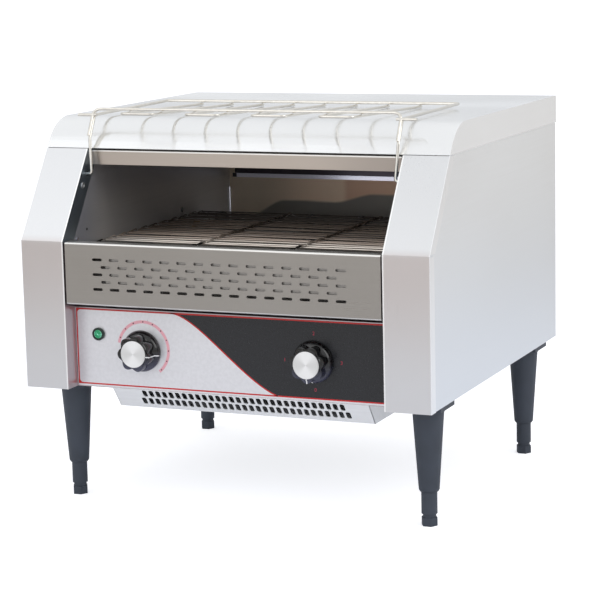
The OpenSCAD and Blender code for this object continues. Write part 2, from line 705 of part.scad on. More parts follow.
// The speed dial's mark stands at about four o'clock, the switch's points down
speed_mark = 75;
module speed_knob() color("black") translate([speed_x, 0, knob_z]) rotate([0, -speed_mark, 0]) knob();
module switch_knob() color("black") translate([switch_x, 0, knob_z]) knob();
module speed_knob_cap() color("silver") translate([speed_x, 0, knob_z]) knob_cap();
module switch_knob_cap() color("silver") translate([switch_x, 0, knob_z]) knob_cap();

module speed_regulator() color("darkslateblue") translate([speed_x, 0, knob_z]) difference() {
    union() {
        rod_y(face_y + 0.1, panel_y + sheet, 0, 0, bush_hole - 0.1);
        rod_y(panel_y + sheet, panel_y + 4, 0, 0, 11);
        rod_y(panel_y + 4, panel_y + 24, 0, 0, 19);
        for (x = [-8, 0, 8]) box([x - 2, panel_y + 6, -27], [x + 2, panel_y + 7, -15]);
    }
    rod_y(face_y - 1, panel_y + 16, 0, 0, spindle_r + run_fit);
}

module rotary_switch() color("ivory") translate([switch_x, 0, knob_z]) difference() {
    union() {
        rod_y(face_y + 0.1, panel_y + sheet, 0, 0, bush_hole - 0.1);
        box([-21, panel_y + sheet, -21], [21, panel_y + 12, 21]);
        rod_y(panel_y + 12, panel_y + 34, 0, 0, 20);
        for (y = [16, 24]) for (i = [0:7]) rotate([0, i * 45, 0])
            box([18, panel_y + y, -2], [24, panel_y + y + 1, 2]);
    }
    rod_y(face_y - 1, panel_y + 16, 0, 0, spindle_r + run_fit);
}

// ---- Air intake and fan -----------------------------------------------------------------------
pan_x = [-138, 160];
pan_z = 110;
pan_back = -60;
pan_wall = 0.8;
pan_top_y = panel_y - 0.5;
pan_toe_y = -183;
pan_tilt = atan2(pan_z - base_z, pan_toe_y - pan_top_y);
intake_pitch = 8.46;
intake_x0 = -112;
intake_rows = [5.9, 17.6];

module intake_pan() color("white") difference() {
    across(pan_x[0], pan_x[1])
        polygon([[pan_top_y, base_z], [pan_toe_y, pan_z], [pan_back - 16, pan_z], [pan_back, base_z]]);
    across(pan_x[0] + pan_wall, pan_x[1] - pan_wall) polygon([[pan_top_y + 1.1, base_z + 1],
        [pan_top_y + 1.1, base_z], [pan_toe_y + 0.5, pan_z + pan_wall], [pan_back - 16.5, pan_z + pan_wall],
        [pan_back - 1, base_z], [pan_back - 1, base_z + 1]]);
    for (row = [0, 1]) for (i = [0:28 + row])
        translate([intake_x0 + (i + (1 - row) / 2) * intake_pitch, pan_top_y, base_z])
            rotate([pan_tilt, 0, 0]) translate([0, intake_rows[row], 0])
                linear_extrude(4, center = true) rotate(90) slot(9.4, 6);
}

fan_z = base_z + sheet;
fan_h = 25;
rotor_r = 41;
hub_r = 17;

module fan_frame() color("dimgray") translate([fan_x, fan_y, fan_z]) {
    difference() {
        translate([-fan_size / 2, -fan_size / 2, 0]) cube([fan_size, fan_size, fan_h]);
        translate([0, 0, -1]) cylinder(h = fan_h + 2, r = rotor_r + 2);
        for (x = [-1, 1]) for (y = [-1, 1]) translate([x * 41.25, y * 41.25, -1])
            cylinder(h = fan_h + 2, r = 2.2);
    }
    translate([0, 0, fan_h - 4]) difference() {
        union() {
            cylinder(h = 4, r = hub_r);
            for (a = [45:90:315]) rotate(a) translate([hub_r - 2, -2, 0])
                cube([rotor_r + 3 - hub_r + 2, 4, 4]);
        }
        translate([0, 0, -1]) cylinder(h = 3, r = 2 + run_fit);
    }
}

module fan_rotor() color("black") translate([fan_x, fan_y, fan_z]) {
    translate([0, 0, 2]) cylinder(h = 18, r = hub_r);
    translate([0, 0, 20]) cylinder(h = 1.8, r = 2);
    intersection() {
        translate([0, 0, 2]) difference() {
            cylinder(h = 18, r = rotor_r);
            translate([0, 0, -1]) cylinder(h = 20, r = hub_r - 1);
        }
        for (i = [0:6]) rotate(i * 360 / 7) translate([hub_r - 1.5, 0, 11]) rotate([38, 0, 0])
            translate([0, -14, -0.8]) cube([rotor_r - hub_r + 1.5, 28, 1.6]);
    }
}

// ---- Mains inlet ------------------------------------------------------------------------------
cord_r = 4.2;
module cord_bushing() color("black") difference() {
    union() {
        rod_y(back_y + sheet, rear_y - 1, inlet_x, inlet_z, 11);
        rod_y(back_y - 8, back_y + sheet, inlet_x, inlet_z, inlet_hole_r - 0.1);
    }
    rod_y(back_y - 9, rear_y, inlet_x, inlet_z, cord_r);
}

module terminal_block() color("ivory") difference() {
    union() {
        box([-227, 122, base_z + sheet + 1], [-191, 148, base_z + 16]);
        for (i = [0:2]) box([-226 + i * 12, 124, base_z + 16], [-216 + i * 12, 146, base_z + 22]);
    }
    for (i = [0:2]) translate([-221 + i * 12, 135, base_z + 10]) cylinder(h = 20, r = 3);
}

// ---- Legs -------------------------------------------------------------------------------------
leg_places = [for (y = [leg_front_y, leg_rear_y]) for (x = [-leg_x, leg_x]) [x, y]];
leg_flange = 43;
flange_t = 7;
shank_r = 5;

module leg() difference() {
    union() {
        translate([0, 0, base_z - flange_t / 2]) cube([leg_flange, leg_flange, flange_t], center = true);
        translate([0, 0, foot_h + 2])
            cylinder(h = base_z - flange_t - foot_h - 2, d1 = leg_tip_d, d2 = leg_top_d);
        translate([0, 0, foot_h]) cylinder(h = 2, d1 = leg_tip_d - 2.4, d2 = leg_tip_d);
        translate([0, 0, base_z]) cylinder(h = sheet + 7, r = stud_r);
        translate([0, 0, base_z - flange_t - 4]) cylinder(h = 4.5, d1 = leg_top_d, d2 = leg_top_d + 5);
    }
    translate([0, 0, foot_h - 1]) cylinder(h = 46, r = shank_r + run_fit);
}
module legs() color("darkslategray") for (p = leg_places) translate([p.x, p.y, 0]) leg();

module leg_nuts() color("gray") for (p = leg_places) translate([p.x, p.y, base_z + 2 * sheet]) difference() {
    cylinder(h = 4.5, r = 5.8, $fn = 6);
    translate([0, 0, -1]) cylinder(h = 7, r = stud_r);
}

module foot(p) color("dimgray") translate([p.x, p.y, 0]) {
    cylinder(h = 9, r = 8.9, $fn = 6);
    translate([0, 0, 9]) cylinder(h = 4, r = 7);
    translate([0, 0, 13]) cylinder(h = foot_h - 13.3, r = 8.5);
    translate([0, 0, foot_h - 1]) cylinder(h = 40, r = shank_r);
}
module foot_front_left() foot(leg_places[0]);
module foot_front_right() foot(leg_places[1]);
module foot_rear_left() foot(leg_places[2]);
module foot_rear_right() foot(leg_places[3]);

// ---- Rack -------------------------------------------------------------------------------------
arm_x = 179;
arm_lean = [0.462, 0.887];
kink = [-159.5, 400];
arm_top = [-147, 424];
back_z = 425.3;
bar_at = [-150.6, 430.6];

// A round wire through the points, with every corner bent to radius r. The straight lengths run a
// little way into the bends, which are a hair thinner, so that the two always close on each other.
bend_lap = 0.1;
bend_ease = 0.04;
module wire(pts, d, r) for (i = [0:len(pts) - 2]) {
    a = pts[i];
    b = pts[i + 1];
    last = i == len(pts) - 2;
    u = unit(b - a);
    start = i == 0 ? a : a + u * (corner_cut(pts, i, r) - bend_lap);
    bend = last ? b : b - u * corner_cut(pts, i + 1, r);
    stretch(start, last ? b : bend + u * bend_lap, d / 2);
    if (!last) {
        v = unit(pts[i + 2] - b);
        n = unit(cross(u, v));
        m = cross(n, u);
        c = bend + m * r;
        multmatrix([[-m.x, u.x, n.x, c.x], [-m.y, u.y, n.y, c.y], [-m.z, u.z, n.z, c.z], [0, 0, 0, 1]])
            rotate_extrude(angle = turn(u, v)) translate([r, 0]) circle(d = d - bend_ease, $fn = 24);
    }
}
function turn(u, v) = acos(u * v);
function unit(v) = v / norm(v);
function corner_cut(pts, i, r) = r * tan(turn(unit(pts[i] - pts[i - 1]), unit(pts[i + 1] - pts[i])) / 2);
module stretch(a, b, r) {
    v = b - a;
    translate(a) rotate([0, acos(v.z / norm(v)), atan2(v.y, v.x)]) cylinder(h = norm(v), r = r, $fn = 24);
}

hook_end = wall_x + 4;
// Centre distance of two frame wires that lie side by side
weld_gap = rack_wire + 0.02;
module rack_frame() color("silver") {
    in_x = arm_x - weld_gap;
    bar_knee = bar_at + [1.5, -8];
    bar_end = kink + [0.6, 1];
    hook_x = arm_x - 2.5;
    wire([[-hook_end, hook_y, hook_z], [-hook_x, hook_y, hook_z], [-arm_x, kink.x, kink.y],
        [-arm_x, arm_top.x, arm_top.y], [-arm_x, rack_back_y, back_z], [arm_x, rack_back_y, back_z],
        [arm_x, arm_top.x, arm_top.y], [arm_x, kink.x, kink.y], [hook_x, hook_y, hook_z],
        [hook_end, hook_y, hook_z]], rack_wire, 3.5);
    wire([[-in_x, bar_end.x, bar_end.y], [-in_x, bar_knee.x, bar_knee.y], [-in_x, bar_at.x, bar_at.y],
        [in_x, bar_at.x, bar_at.y], [in_x, bar_knee.x, bar_knee.y], [in_x, bar_end.x, bar_end.y]],
        rack_wire, 4);
    stop_at = arm_top - arm_lean * 1.5 + weld_gap * [-arm_lean.y, arm_lean.x];
    both_sides() rod_x(in_x + rack_wire / 2 + 0.1, arm_x + 17.5, stop_at.x, stop_at.y, rack_wire / 2,
        $fn = 24);
}

slat_tip = -171.5;
slat_drop = (rack_wire + slat_wire) / 2 + 0.02;
slat_back = [rack_back_y, back_z - slat_drop];
slat_slope = (bar_at.y - back_z) / (bar_at.x - rack_back_y);
module rack_slats() color("silver") for (i = [-3:2:3]) {
    tip_z = slat_back.y + slat_slope * (slat_tip - rack_back_y);
    x0 = (i - 0.5) * slat_pitch;
    wire([[x0, slat_back.x + 1, slat_back.y], [x0, slat_tip, tip_z], [x0 + slat_pitch, slat_tip, tip_z],
        [x0 + slat_pitch, slat_back.x + 1, slat_back.y]], slat_wire, 5);
}

base_plate();
side_panel_left();
side_panel_right();
front_pillar_left();
front_pillar_right();
top_cover();
back_panel();
back_panel_screws();
front_band();
bay_front_wall();
lintel();
chamber_wall_left();
chamber_wall_right();
rear_wall();
rear_baffle();
upper_reflector();
lower_reflector();
heater_tubes_upper();
heater_tubes_lower();
heater_caps();
belt_support();
wire_belt();
drive_shaft();
drive_sprockets();
chain_wheel();
idler_shaft();
idler_sprockets();
shaft_bearings();
gear_motor();
motor_shaft();
motor_sprocket();
drive_chain();
bay_floor();
compartment_wall();
toast_slide();
crumb_tray();
tray_runners();
control_panel();
panel_overlay();
lamp_bezel();
lamp_lens();
speed_knob();
speed_knob_cap();
speed_regulator();
switch_knob();
switch_knob_cap();
rotary_switch();
intake_pan();
fan_frame();
fan_rotor();
cord_bushing();
terminal_block();
legs();
leg_nuts();
foot_front_left();
foot_front_right();
foot_rear_left();
foot_rear_right();
rack_frame();
rack_slats();
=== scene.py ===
import math
import random

import bpy
from mathutils import Matrix, Vector


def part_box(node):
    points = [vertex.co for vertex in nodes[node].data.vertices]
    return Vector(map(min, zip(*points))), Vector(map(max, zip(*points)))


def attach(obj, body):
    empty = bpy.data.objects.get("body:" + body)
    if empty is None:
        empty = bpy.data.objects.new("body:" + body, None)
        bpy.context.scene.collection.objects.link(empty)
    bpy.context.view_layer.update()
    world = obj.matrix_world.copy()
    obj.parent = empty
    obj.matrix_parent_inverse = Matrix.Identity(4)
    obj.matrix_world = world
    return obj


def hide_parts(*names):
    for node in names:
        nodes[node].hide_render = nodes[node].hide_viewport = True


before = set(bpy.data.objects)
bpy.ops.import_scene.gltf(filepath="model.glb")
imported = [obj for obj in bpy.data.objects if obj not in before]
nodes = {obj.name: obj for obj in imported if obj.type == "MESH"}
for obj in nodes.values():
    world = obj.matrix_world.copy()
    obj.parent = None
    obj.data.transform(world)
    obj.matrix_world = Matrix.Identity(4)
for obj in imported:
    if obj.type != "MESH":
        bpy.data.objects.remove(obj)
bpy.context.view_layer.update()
mm = 0.001
print("frame:", len(nodes), "nodes")

# camera, floor and light

cameraView = {
    "place": (0.9451, -2.1990, 0.6162), "yaw": 23.328, "pitch": 9.80, "roll": -1.307,
    "lens": 128.0, "sensor": 36, "reach": 50,
}


def makeCamera(view):
    bpy.ops.object.camera_add()
    camera = bpy.context.object
    camera.data.lens = view["lens"]
    camera.data.sensor_width = view["sensor"]
    camera.data.clip_end = view["reach"]
    turn = Matrix.Rotation(math.radians(view["yaw"]), 4, "Z")
    turn = turn @ Matrix.Rotation(math.radians(90 - view["pitch"]), 4, "X")
    turn = turn @ Matrix.Rotation(math.radians(view["roll"]), 4, "Z")
    camera.matrix_world = Matrix.Translation(view["place"]) @ turn
    bpy.context.scene.camera = camera


class Wire:
    # a node socket that can be used in sums; node() makes any other node in the same tree
    def __init__(self, tree, socket=None):
        self.tree = tree
        self.socket = socket

    def node(self, kind, settings=None, sockets=None, out=0):
        made = self.tree.nodes.new("ShaderNode" + kind)
        for key, value in (settings or {}).items():
            setattr(made, key, value)
        for key, value in (sockets or {}).items():
            if isinstance(value, Wire):
                self.tree.links.new(value.socket, made.inputs[key])
            else:
                made.inputs[key].default_value = value
        return Wire(self.tree, made.outputs[out] if len(made.outputs) else None)

    def math(self, operation, first, second=0.0):
        return self.node("Math", {"operation": operation}, {0: first, 1: second})

    def __add__(self, other):
        return self.math("ADD", self, other)

    def __radd__(self, other):
        return self.math("ADD", other, self)

    def __sub__(self, other):
        return self.math("SUBTRACT", self, other)

    def __rsub__(self, other):
        return self.math("SUBTRACT", other, self)

    def __mul__(self, other):
        return self.math("MULTIPLY", self, other)

    def __rmul__(self, other):
        return self.math("MULTIPLY", other, self)

    def blend(self, low, high):
        # a colour between low and high, by this value
        return self.node("Mix", {"data_type": "RGBA"}, {0: self, 6: low, 7: high}, out=2)

    def band(self, low, high):
        # 0 below low, 1 above high
        sockets = {0: self, 1: low, 2: high}
        return self.node("MapRange", {"interpolation_type": "SMOOTHSTEP"}, sockets)


def colour(red, green, blue):
    # a screen colour from 0 to 255 as the shader wants it
    screen = [c / 255 for c in (red, green, blue)]
    return tuple(c / 12.92 if c < 0.04045 else ((c + 0.055) / 1.055) ** 2.4 for c in screen) + (1,)


def scaled(tint, factor):
    return tuple(min(1, c * factor) for c in tint[:3]) + (1,)


def newFinish(name):
    material = bpy.data.materials.new(name)
    material.use_nodes = True
    material.node_tree.nodes.clear()
    return material, Wire(material.node_tree)


def useShader(start, sockets):
    shader = start.node("BsdfPrincipled", {}, sockets)
    start.node("OutputMaterial", {}, {"Surface": shader})


studio = {
    "zenith": (250, 251, 252), "horizon": (222, 224, 227), "below": (206, 204, 202),
    "skyBand": (0.0, 0.8), "groundBand": (-0.05, 0.02), "strength": 1.0,
    "floorNear": (222, 223, 228), "floorFar": (206, 200, 193), "floorBand": (0.5, 2.2),
    "floorSize": 40, "floorSeen": 0.6, "aim": (0, 0, 0.25),
    # name, place, size, power
    "lights": (("key", (-1.3, -1.9, 1.7), 1.8, 3.5), ("fill", (2.0, -0.6, 1.5), 1.8, 14.5),
               ("mouth", (-0.5, -1.9, 0.75), 1.0, 2.6)),
}


def makeStudio(s):
    scene = bpy.context.scene
    scene.view_settings.view_transform = "Standard"
    scene.view_settings.look = "None"
    world = bpy.data.worlds.new("studio")
    scene.world = world
    world.use_nodes = True
    world.node_tree.nodes.clear()
    start = Wire(world.node_tree)
    up = start.node("SeparateXYZ", {}, {0: start.node("TexCoord", out="Generated")}, out="Z")
    sky = up.band(*s["skyBand"]).blend(colour(*s["horizon"]), colour(*s["zenith"]))
    around = up.band(*s["groundBand"]).blend(colour(*s["below"]), sky)
    seen = start.node("LightPath", out="Is Camera Ray")
    glow = start.node("Background", {}, {"Color": around, "Strength": s["strength"]})
    backdrop = start.node("Background", {}, {"Color": (1, 1, 1, 1), "Strength": 1.0})
    either = start.node("MixShader", {}, {0: seen, 1: glow, 2: backdrop})
    start.node("OutputWorld", {}, {"Surface": either})


def makeFloor(s):
    # white where the camera sees it, and pale where the metal mirrors it
    bpy.ops.mesh.primitive_plane_add(size=s["floorSize"])
    floor = bpy.context.object
    floor.name = "floor"
    material, start = newFinish("floor_white")
    here = start.node("TexCoord", out="Object")
    away = start.node("VectorMath", {"operation": "LENGTH"}, {0: here}, out="Value")
    seen = start.node("LightPath", out="Is Camera Ray")
    far = away.band(*s["floorBand"]) * (1.0 - seen)
    useShader(start, {"Base Color": far.blend(colour(*s["floorNear"]), colour(*s["floorFar"])),
                      "Roughness": 0.9, "Specular IOR Level": 0.1,
                      "Emission Color": seen.blend((0, 0, 0, 1), (1, 1, 1, 1)),
                      "Emission Strength": s["floorSeen"]})
    floor.data.materials.append(material)


def makeLights(s):
    for name, place, size, power in s["lights"]:
        bpy.ops.object.light_add(type="AREA", location=place)
        light = bpy.context.object
        light.name = name
        light.data.size = size
        light.data.energy = power
        aim = Vector(s["aim"]) - Vector(place)
        light.rotation_euler = aim.to_track_quat("-Z", "Y").to_euler()


makeCamera(cameraView)
makeStudio(studio)
makeFloor(studio)
makeLights(studio)
print("camera, floor and lights")

# finishes

steels = {
    # grain is the pattern's stretch along x, y and z, uneven how much darker its dark parts are,
    # bump the depth of the grain, tilt how far a face looks upward, brushed how far reflections
    # spread across the grain; zones are (axis, from, to, tint): from one place to the other,
    # in mm, the tint changes over, and metalZone changes the share of metal in the same way;
    # beside X, Y and Z an axis is side (distance from the middle), reveal (Z on the inward
    # faces of the mouth) or heat (height over the dark line on the rear wall)
    "steelTop": {
        "tint": (244, 245, 246), "metal": 0.9, "rough": 0.2, "grain": (9, 900, 900),
        "uneven": 0.03, "bump": 0.01, "brushed": 1.0, "metalZone": ("side", 233.2, 233.8, 0.45),
    },
    "steelSide": {
        "tint": (249, 252, 255), "metal": 0.75, "rough": 0.32, "grain": (500, 9, 500),
        # painted shade: the side and back panels turn a little darker and bluer towards the bottom
        "uneven": 0.03, "zones": [("Z", 390, 180, (234, 239, 245))],
    },
    "steelPillar": {
        "tint": (226, 227, 229), "metal": 0.9, "rough": 0.3, "grain": (900, 900, 9),
        "uneven": 0.03, "metalZone": ("side", 233.2, 233.8, 0.75),
        # painted light and shade: darker and warmer on the upright lower part, a painted highlight
        # along the front edge at the mouth, painted shade on the inward faces with a painted blue
        # reflection towards their top, and the outward faces painted lighter
        "zones": [("Z", 302, 290, (209, 203, 202)), ("Z", 285, 150, (219, 219, 221)),
                  ("side", 184.8, 184.2, (255, 255, 255)),
                  ("side", 183.06, 183.02, (194, 183, 186)),
                  ("reveal", 288, 296, (136, 150, 162)),
                  ("side", 233.2, 233.8, (250, 252, 255))],
    },
    "steelBand": {
        "tint": (164, 160, 155), "metal": 0.9, "rough": 0.3, "grain": (9, 900, 900),
        "uneven": 0.03, "bump": 0.01,
        # painted highlights: light lines along the top and bottom edges of the band's face
        "zones": [("Z", 292.1, 292.8, (236, 235, 232)), ("Z", 228.6, 227.8, (230, 228, 226))],
    },
    "steelLintel": {
        "tint": (193, 183, 174), "metal": 0.8, "rough": 0.3, "grain": (9, 900, 900),
        "uneven": 0.02, "bump": 0.01,
        # painted shade towards the right end, and a painted highlight along the top edge
        "zones": [("X", 60, 170, (172, 163, 156)), ("Z", 384.2, 385.0, (255, 255, 252))],
    },
    "steelInner": {
        "tint": (176, 172, 168), "metal": 0.45, "rough": 0.42, "grain": (900, 9, 900),
        "uneven": 0.12, "bump": 0.03,
    },
    "steelWall": {
        "tint": (192, 189, 187), "metal": 0.45, "rough": 0.42, "grain": (900, 9, 900),
        "uneven": 0.1, "bump": 0.01,
        # painted shade: the chamber walls are darker towards the top and towards the front
        "zones": [("Z", 318, 352, (172, 170, 172)), ("Y", -120, -180, (152, 153, 160))],
    },
    "steelLip": {
        "tint": (206, 206, 219), "metal": 1.0, "rough": 0.2, "grain": (9, 900, 900),
        "uneven": 0.1, "tilt": 0.11,
        # painted shade: the sheet behind the lip and the lip's left end are painted nearly black,
        # where the gap and the end lie in shade
        "zones": [("Y", 203.5, 204.5, (60, 56, 62)), ("X", -170, -171, (60, 58, 60))],
    },
    "steelTinted": {
        "tint": (216, 200, 180), "metal": 0.5, "rough": 0.3, "grain": (9, 700, 700),
        "uneven": 0.04,
        "zones": [("X", -150, -60, (255, 226, 200)), ("X", -33, -24, (232, 192, 166)),
                  # the rear wall turns darker below the wavy line that climbs from the left
                  ("heat", 4, 0, (136, 132, 126))],
    },
    "steelZinc": {
        "tint": (186, 188, 190), "metal": 0.9, "rough": 0.42, "grain": (60, 60, 60),
        "uneven": 0.2, "bump": 0.03,
    },
    "steelPan": {
        "tint": (252, 253, 255), "metal": 0.3, "rough": 0.24, "grain": (9, 300, 300),
        "uneven": 0.06, "bump": 0.02,
    },
    "steelWire": {
        "tint": (232, 228, 220), "metal": 1.0, "rough": 0.16, "grain": (200, 200, 200),
        "uneven": 0.15,
    },
    "steelBelt": {
        "tint": (124, 109, 97), "metal": 0.3, "rough": 0.38, "grain": (24, 700, 700),
        # painted light and shade over the strands' own dark tint: lighter towards the front where
        # light falls on them, a painted dark row at the front turn, and painted shade towards the
        # back; the metal share rises towards the front to catch a highlight
        "uneven": 0.4, "metalZone": ("Y", -100, -150, 0.9),
        "zones": [("Y", -40, -105, (186, 168, 154)), ("Y", -95, -130, (238, 228, 217)),
                  ("Y", -139, -144, (66, 62, 58)), ("Y", 15, 70, (92, 84, 78))],
    },
    "steelRoll": {
        "tint": (244, 244, 252), "metal": 1.0, "rough": 0.22, "grain": (90, 90, 90),
        "uneven": 0.05, "tilt": 0.12,
    },
    "steelShaft": {
        "tint": (200, 200, 200), "metal": 1.0, "rough": 0.22, "grain": (900, 60, 60),
        "uneven": 0.2, "bump": 0.01,
    },
    "steelWheel": {
        "tint": (136, 136, 138), "metal": 1.0, "rough": 0.35, "grain": (90, 90, 90),
        "uneven": 0.3, "bump": 0.02,
    },
    "bronze": {
        "tint": (190, 150, 90), "metal": 1.0, "rough": 0.4, "grain": (200, 200, 200),
        "uneven": 0.3, "bump": 0.02,
    },
}
# the inward faces of the mouth, by their distance from the middle
revealSide = (183.06, 183.02)
# the line on the rear wall below which the wall is darker: it climbs from the left
darkLine = {
    # climbs are (from, to, by how much) along X
    "height": 267.5, "climbs": ((-155, -110, 19), (-45, 10, 10)), "wave": 3, "waveScale": 14.0,
}
# how the fine grain and the broad patches share in a steel's colour and roughness
steelNoise = {
    "detail": 5.0, "broad": (7, 7, 7), "broadDetail": 2.0, "fineShare": 0.55,
    "fineRough": 0.1, "broadRough": 0.08, "acrossGrain": 0.25,
}
# a noise pattern changes over between these two values
contrast = (0.3, 0.7)
fineDepth = 0.1 * mm


def placeOn(start):
    return start.node("TexCoord", out="Object")


def alongAxis(start, axis):
    return start.node("SeparateXYZ", {}, {0: placeOn(start)}, out=axis)


def grainOf(start, scale):
    # object coordinates stretched along the grain
    return start.node("Mapping", {}, {"Vector": placeOn(start), "Scale": scale})


def bumpOf(start, height, strength, distance):
    sockets = {"Height": height, "Strength": strength, "Distance": distance}
    return start.node("Bump", {}, sockets)


def darkLineHeight(start, h):
    # the height of the line over the rear wall
    wave = start.node("TexNoise", {}, {"Vector": placeOn(start), "Scale": h["waveScale"]})
    line = h["height"] * mm + h["wave"] * mm * (wave - 0.5)
    for low, high, climb in h["climbs"]:
        line = line + climb * mm * alongAxis(start, "X").band(low * mm, high * mm)
    return line


def zoneOf(start, axis, low, high):
    # 0 at low and 1 at high, by the place on the part
    low, high = low * mm, high * mm
    if axis == "side":
        return start.math("ABSOLUTE", alongAxis(start, "X")).band(low, high)
    if axis == "reveal":
        return zoneOf(start, "side", *revealSide) * alongAxis(start, "Z").band(low, high)
    if axis == "heat":
        return (alongAxis(start, "Z") - darkLineHeight(start, darkLine)).band(low, high)
    return alongAxis(start, axis).band(low, high)


def zonedTint(start, base, s):
    for axis, low, high, tint in s.get("zones", ()):
        base = zoneOf(start, axis, low, high).blend(base, colour(*tint))
    return base


def brushedSteel(name, s, n):
    material, start = newFinish(name)
    fine = start.node("TexNoise", {}, {"Vector": grainOf(start, s["grain"]), "Scale": 1.0,
                                       "Detail": n["detail"]})
    broad = start.node("TexNoise", {}, {"Vector": grainOf(start, n["broad"]), "Scale": 1.0,
                                        "Detail": n["broadDetail"]})
    tint = colour(*s["tint"])
    shade = n["fineShare"] * fine + (1 - n["fineShare"]) * broad
    base = shade.band(*contrast).blend(scaled(tint, 1 - s["uneven"]), tint)
    rough = s["rough"] + n["fineRough"] * (fine - 0.5) + n["broadRough"] * (broad - 0.5)
    sockets = {"Base Color": zonedTint(start, base, s), "Metallic": s["metal"], "Roughness": rough}
    if "metalZone" in s:
        axis, low, high, metal = s["metalZone"]
        change = (metal - s["metal"]) * zoneOf(start, axis, low, high)
        sockets["Metallic"] = s["metal"] + change
    if "bump" in s:
        sockets["Normal"] = bumpOf(start, fine, s["bump"], mm)
    if "tilt" in s:
        sockets["Normal"] = bumpOf(start, alongAxis(start, "Z") * -s["tilt"], 1.0, 1.0)
    if "brushed" in s:
        # reflections spread across the grain and stay sharp along it
        sockets["Anisotropic"] = s["brushed"]
        sockets["Anisotropic Rotation"] = n["acrossGrain"]
    useShader(start, sockets)
    return material


plastics = {
    # grain is the fineness of the surface grain and bump its depth
    "legSlate": {"tint": (52, 58, 68), "rough": 0.5, "grain": 900, "bump": 0.25},
    "blackMatt": {"tint": (22, 22, 24), "rough": 0.5, "grain": 900, "bump": 0.15},
    "blackGloss": {
        "tint": (7, 7, 8), "rough": 0.08, "grain": 60, "ior": 1.6,
        # painted reflection: the knobs and grips turn blue-grey towards the bottom, where they
        # would mirror the floor
        "zones": [("Z", 178, 156, (62, 64, 84))],
    },
    "bezelGreen": {"tint": (8, 34, 26), "rough": 0.14, "grain": 60},
    "ivory": {"tint": (222, 214, 196), "rough": 0.45, "grain": 500, "bump": 0.1},
    "ceramic": {"tint": (232, 228, 218), "rough": 0.35, "grain": 400, "bump": 0.1},
    "motorPaint": {"tint": (44, 52, 56), "rough": 0.38, "grain": 700, "bump": 0.2},
}


# lighter is how many times lighter the patches are, spread how far the roughness varies
moulding = {"patches": 25.0, "lighter": 1.25, "detail": 3.0, "spread": 0.12}
glass = {"patches": 80.0, "lighter": 1.15, "spread": 0.1, "coat": 0.15, "coatRough": 0.05}
printing = {"patches": 260.0, "lighter": 1.06, "detail": 3.0, "spread": 0.1}


def patches(start, scale, detail=2.0):
    sockets = {"Vector": grainOf(start, (1, 1, 1)), "Scale": scale, "Detail": detail}
    return start.node("TexNoise", {}, sockets)


def unevenTint(noise, tint, lighter):
    return noise.band(*contrast).blend(tint, scaled(tint, lighter))


def moulded(name, s, n):
    material, start = newFinish(name)
    fine = patches(start, s["grain"], n["detail"])
    base = unevenTint(patches(start, n["patches"]), colour(*s["tint"]), n["lighter"])
    sockets = {"Base Color": zonedTint(start, base, s),
               "Roughness": s["rough"] + n["spread"] * (fine - 0.5)}
    if "bump" in s:
        sockets["Normal"] = bumpOf(start, fine, s["bump"], fineDepth)
    if "ior" in s:
        sockets["IOR"] = s["ior"]
    useShader(start, sockets)
    return material


def clearPart(name, n, tint, rough):
    # glass or a clear lens
    material, start = newFinish(name)
    noise = patches(start, n["patches"])
    useShader(start, {"Base Color": unevenTint(noise, colour(*tint), n["lighter"]),
                      "Roughness": rough + n["spread"] * (noise - 0.5),
                      "Coat Weight": n["coat"], "Coat Roughness": n["coatRough"]})
    return material


def printed(name, n, tint, rough, metal=0.0):
    # ink or film on the panel
    material, start = newFinish(name)
    noise = patches(start, n["patches"], n["detail"])
    useShader(start, {"Base Color": unevenTint(noise, colour(*tint), n["lighter"]),
                      "Roughness": rough + n["spread"] * (noise - 0.5), "Metallic": metal})
    return material


spin = {
    "bright": (252, 252, 252), "dark": (196, 196, 194), "metal": 0.55, "rough": 0.26,
    # the soft dark fans round the cap are a painted reflection of the light on spun metal; this
    # line sets how many, how soft and how dark
    "paintedFans": 2.0, "paintedFanBand": (-1.0, 1.3), "paintedFanShare": 0.5,
    "rings": 3000.0, "ringShare": 0.22, "ringRough": 0.2, "ringBump": 0.1,
}


def spunMetal(name, node, s):
    # rings round the middle of a cap, and soft dark fans across it as a painted reflection
    low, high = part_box(node)
    middle = (low + high) / 2
    material, start = newFinish(name)
    centred = start.node("Mapping", {}, {"Vector": placeOn(start),
                                         "Location": (-middle.x, 0, -middle.z)})
    x = start.node("SeparateXYZ", {}, {0: centred}, out="X")
    z = start.node("SeparateXYZ", {}, {0: centred}, out="Z")
    fan = start.math("COSINE", s["paintedFans"] * start.math("ARCTAN2", z, x))
    radius = start.math("SQRT", x * x + z * z)
    rings = start.node("TexNoise", {"noise_dimensions": "1D"},
                       {"W": radius * s["rings"], "Detail": 2.0})
    dark = fan.band(*s["paintedFanBand"]) * s["paintedFanShare"] + s["ringShare"] * rings
    useShader(start, {"Base Color": dark.blend(colour(*s["bright"]), colour(*s["dark"])),
                      "Metallic": s["metal"], "Roughness": s["rough"] + s["ringRough"] * rings,
                      "Normal": bumpOf(start, rings, s["ringBump"], fineDepth)})
    return material


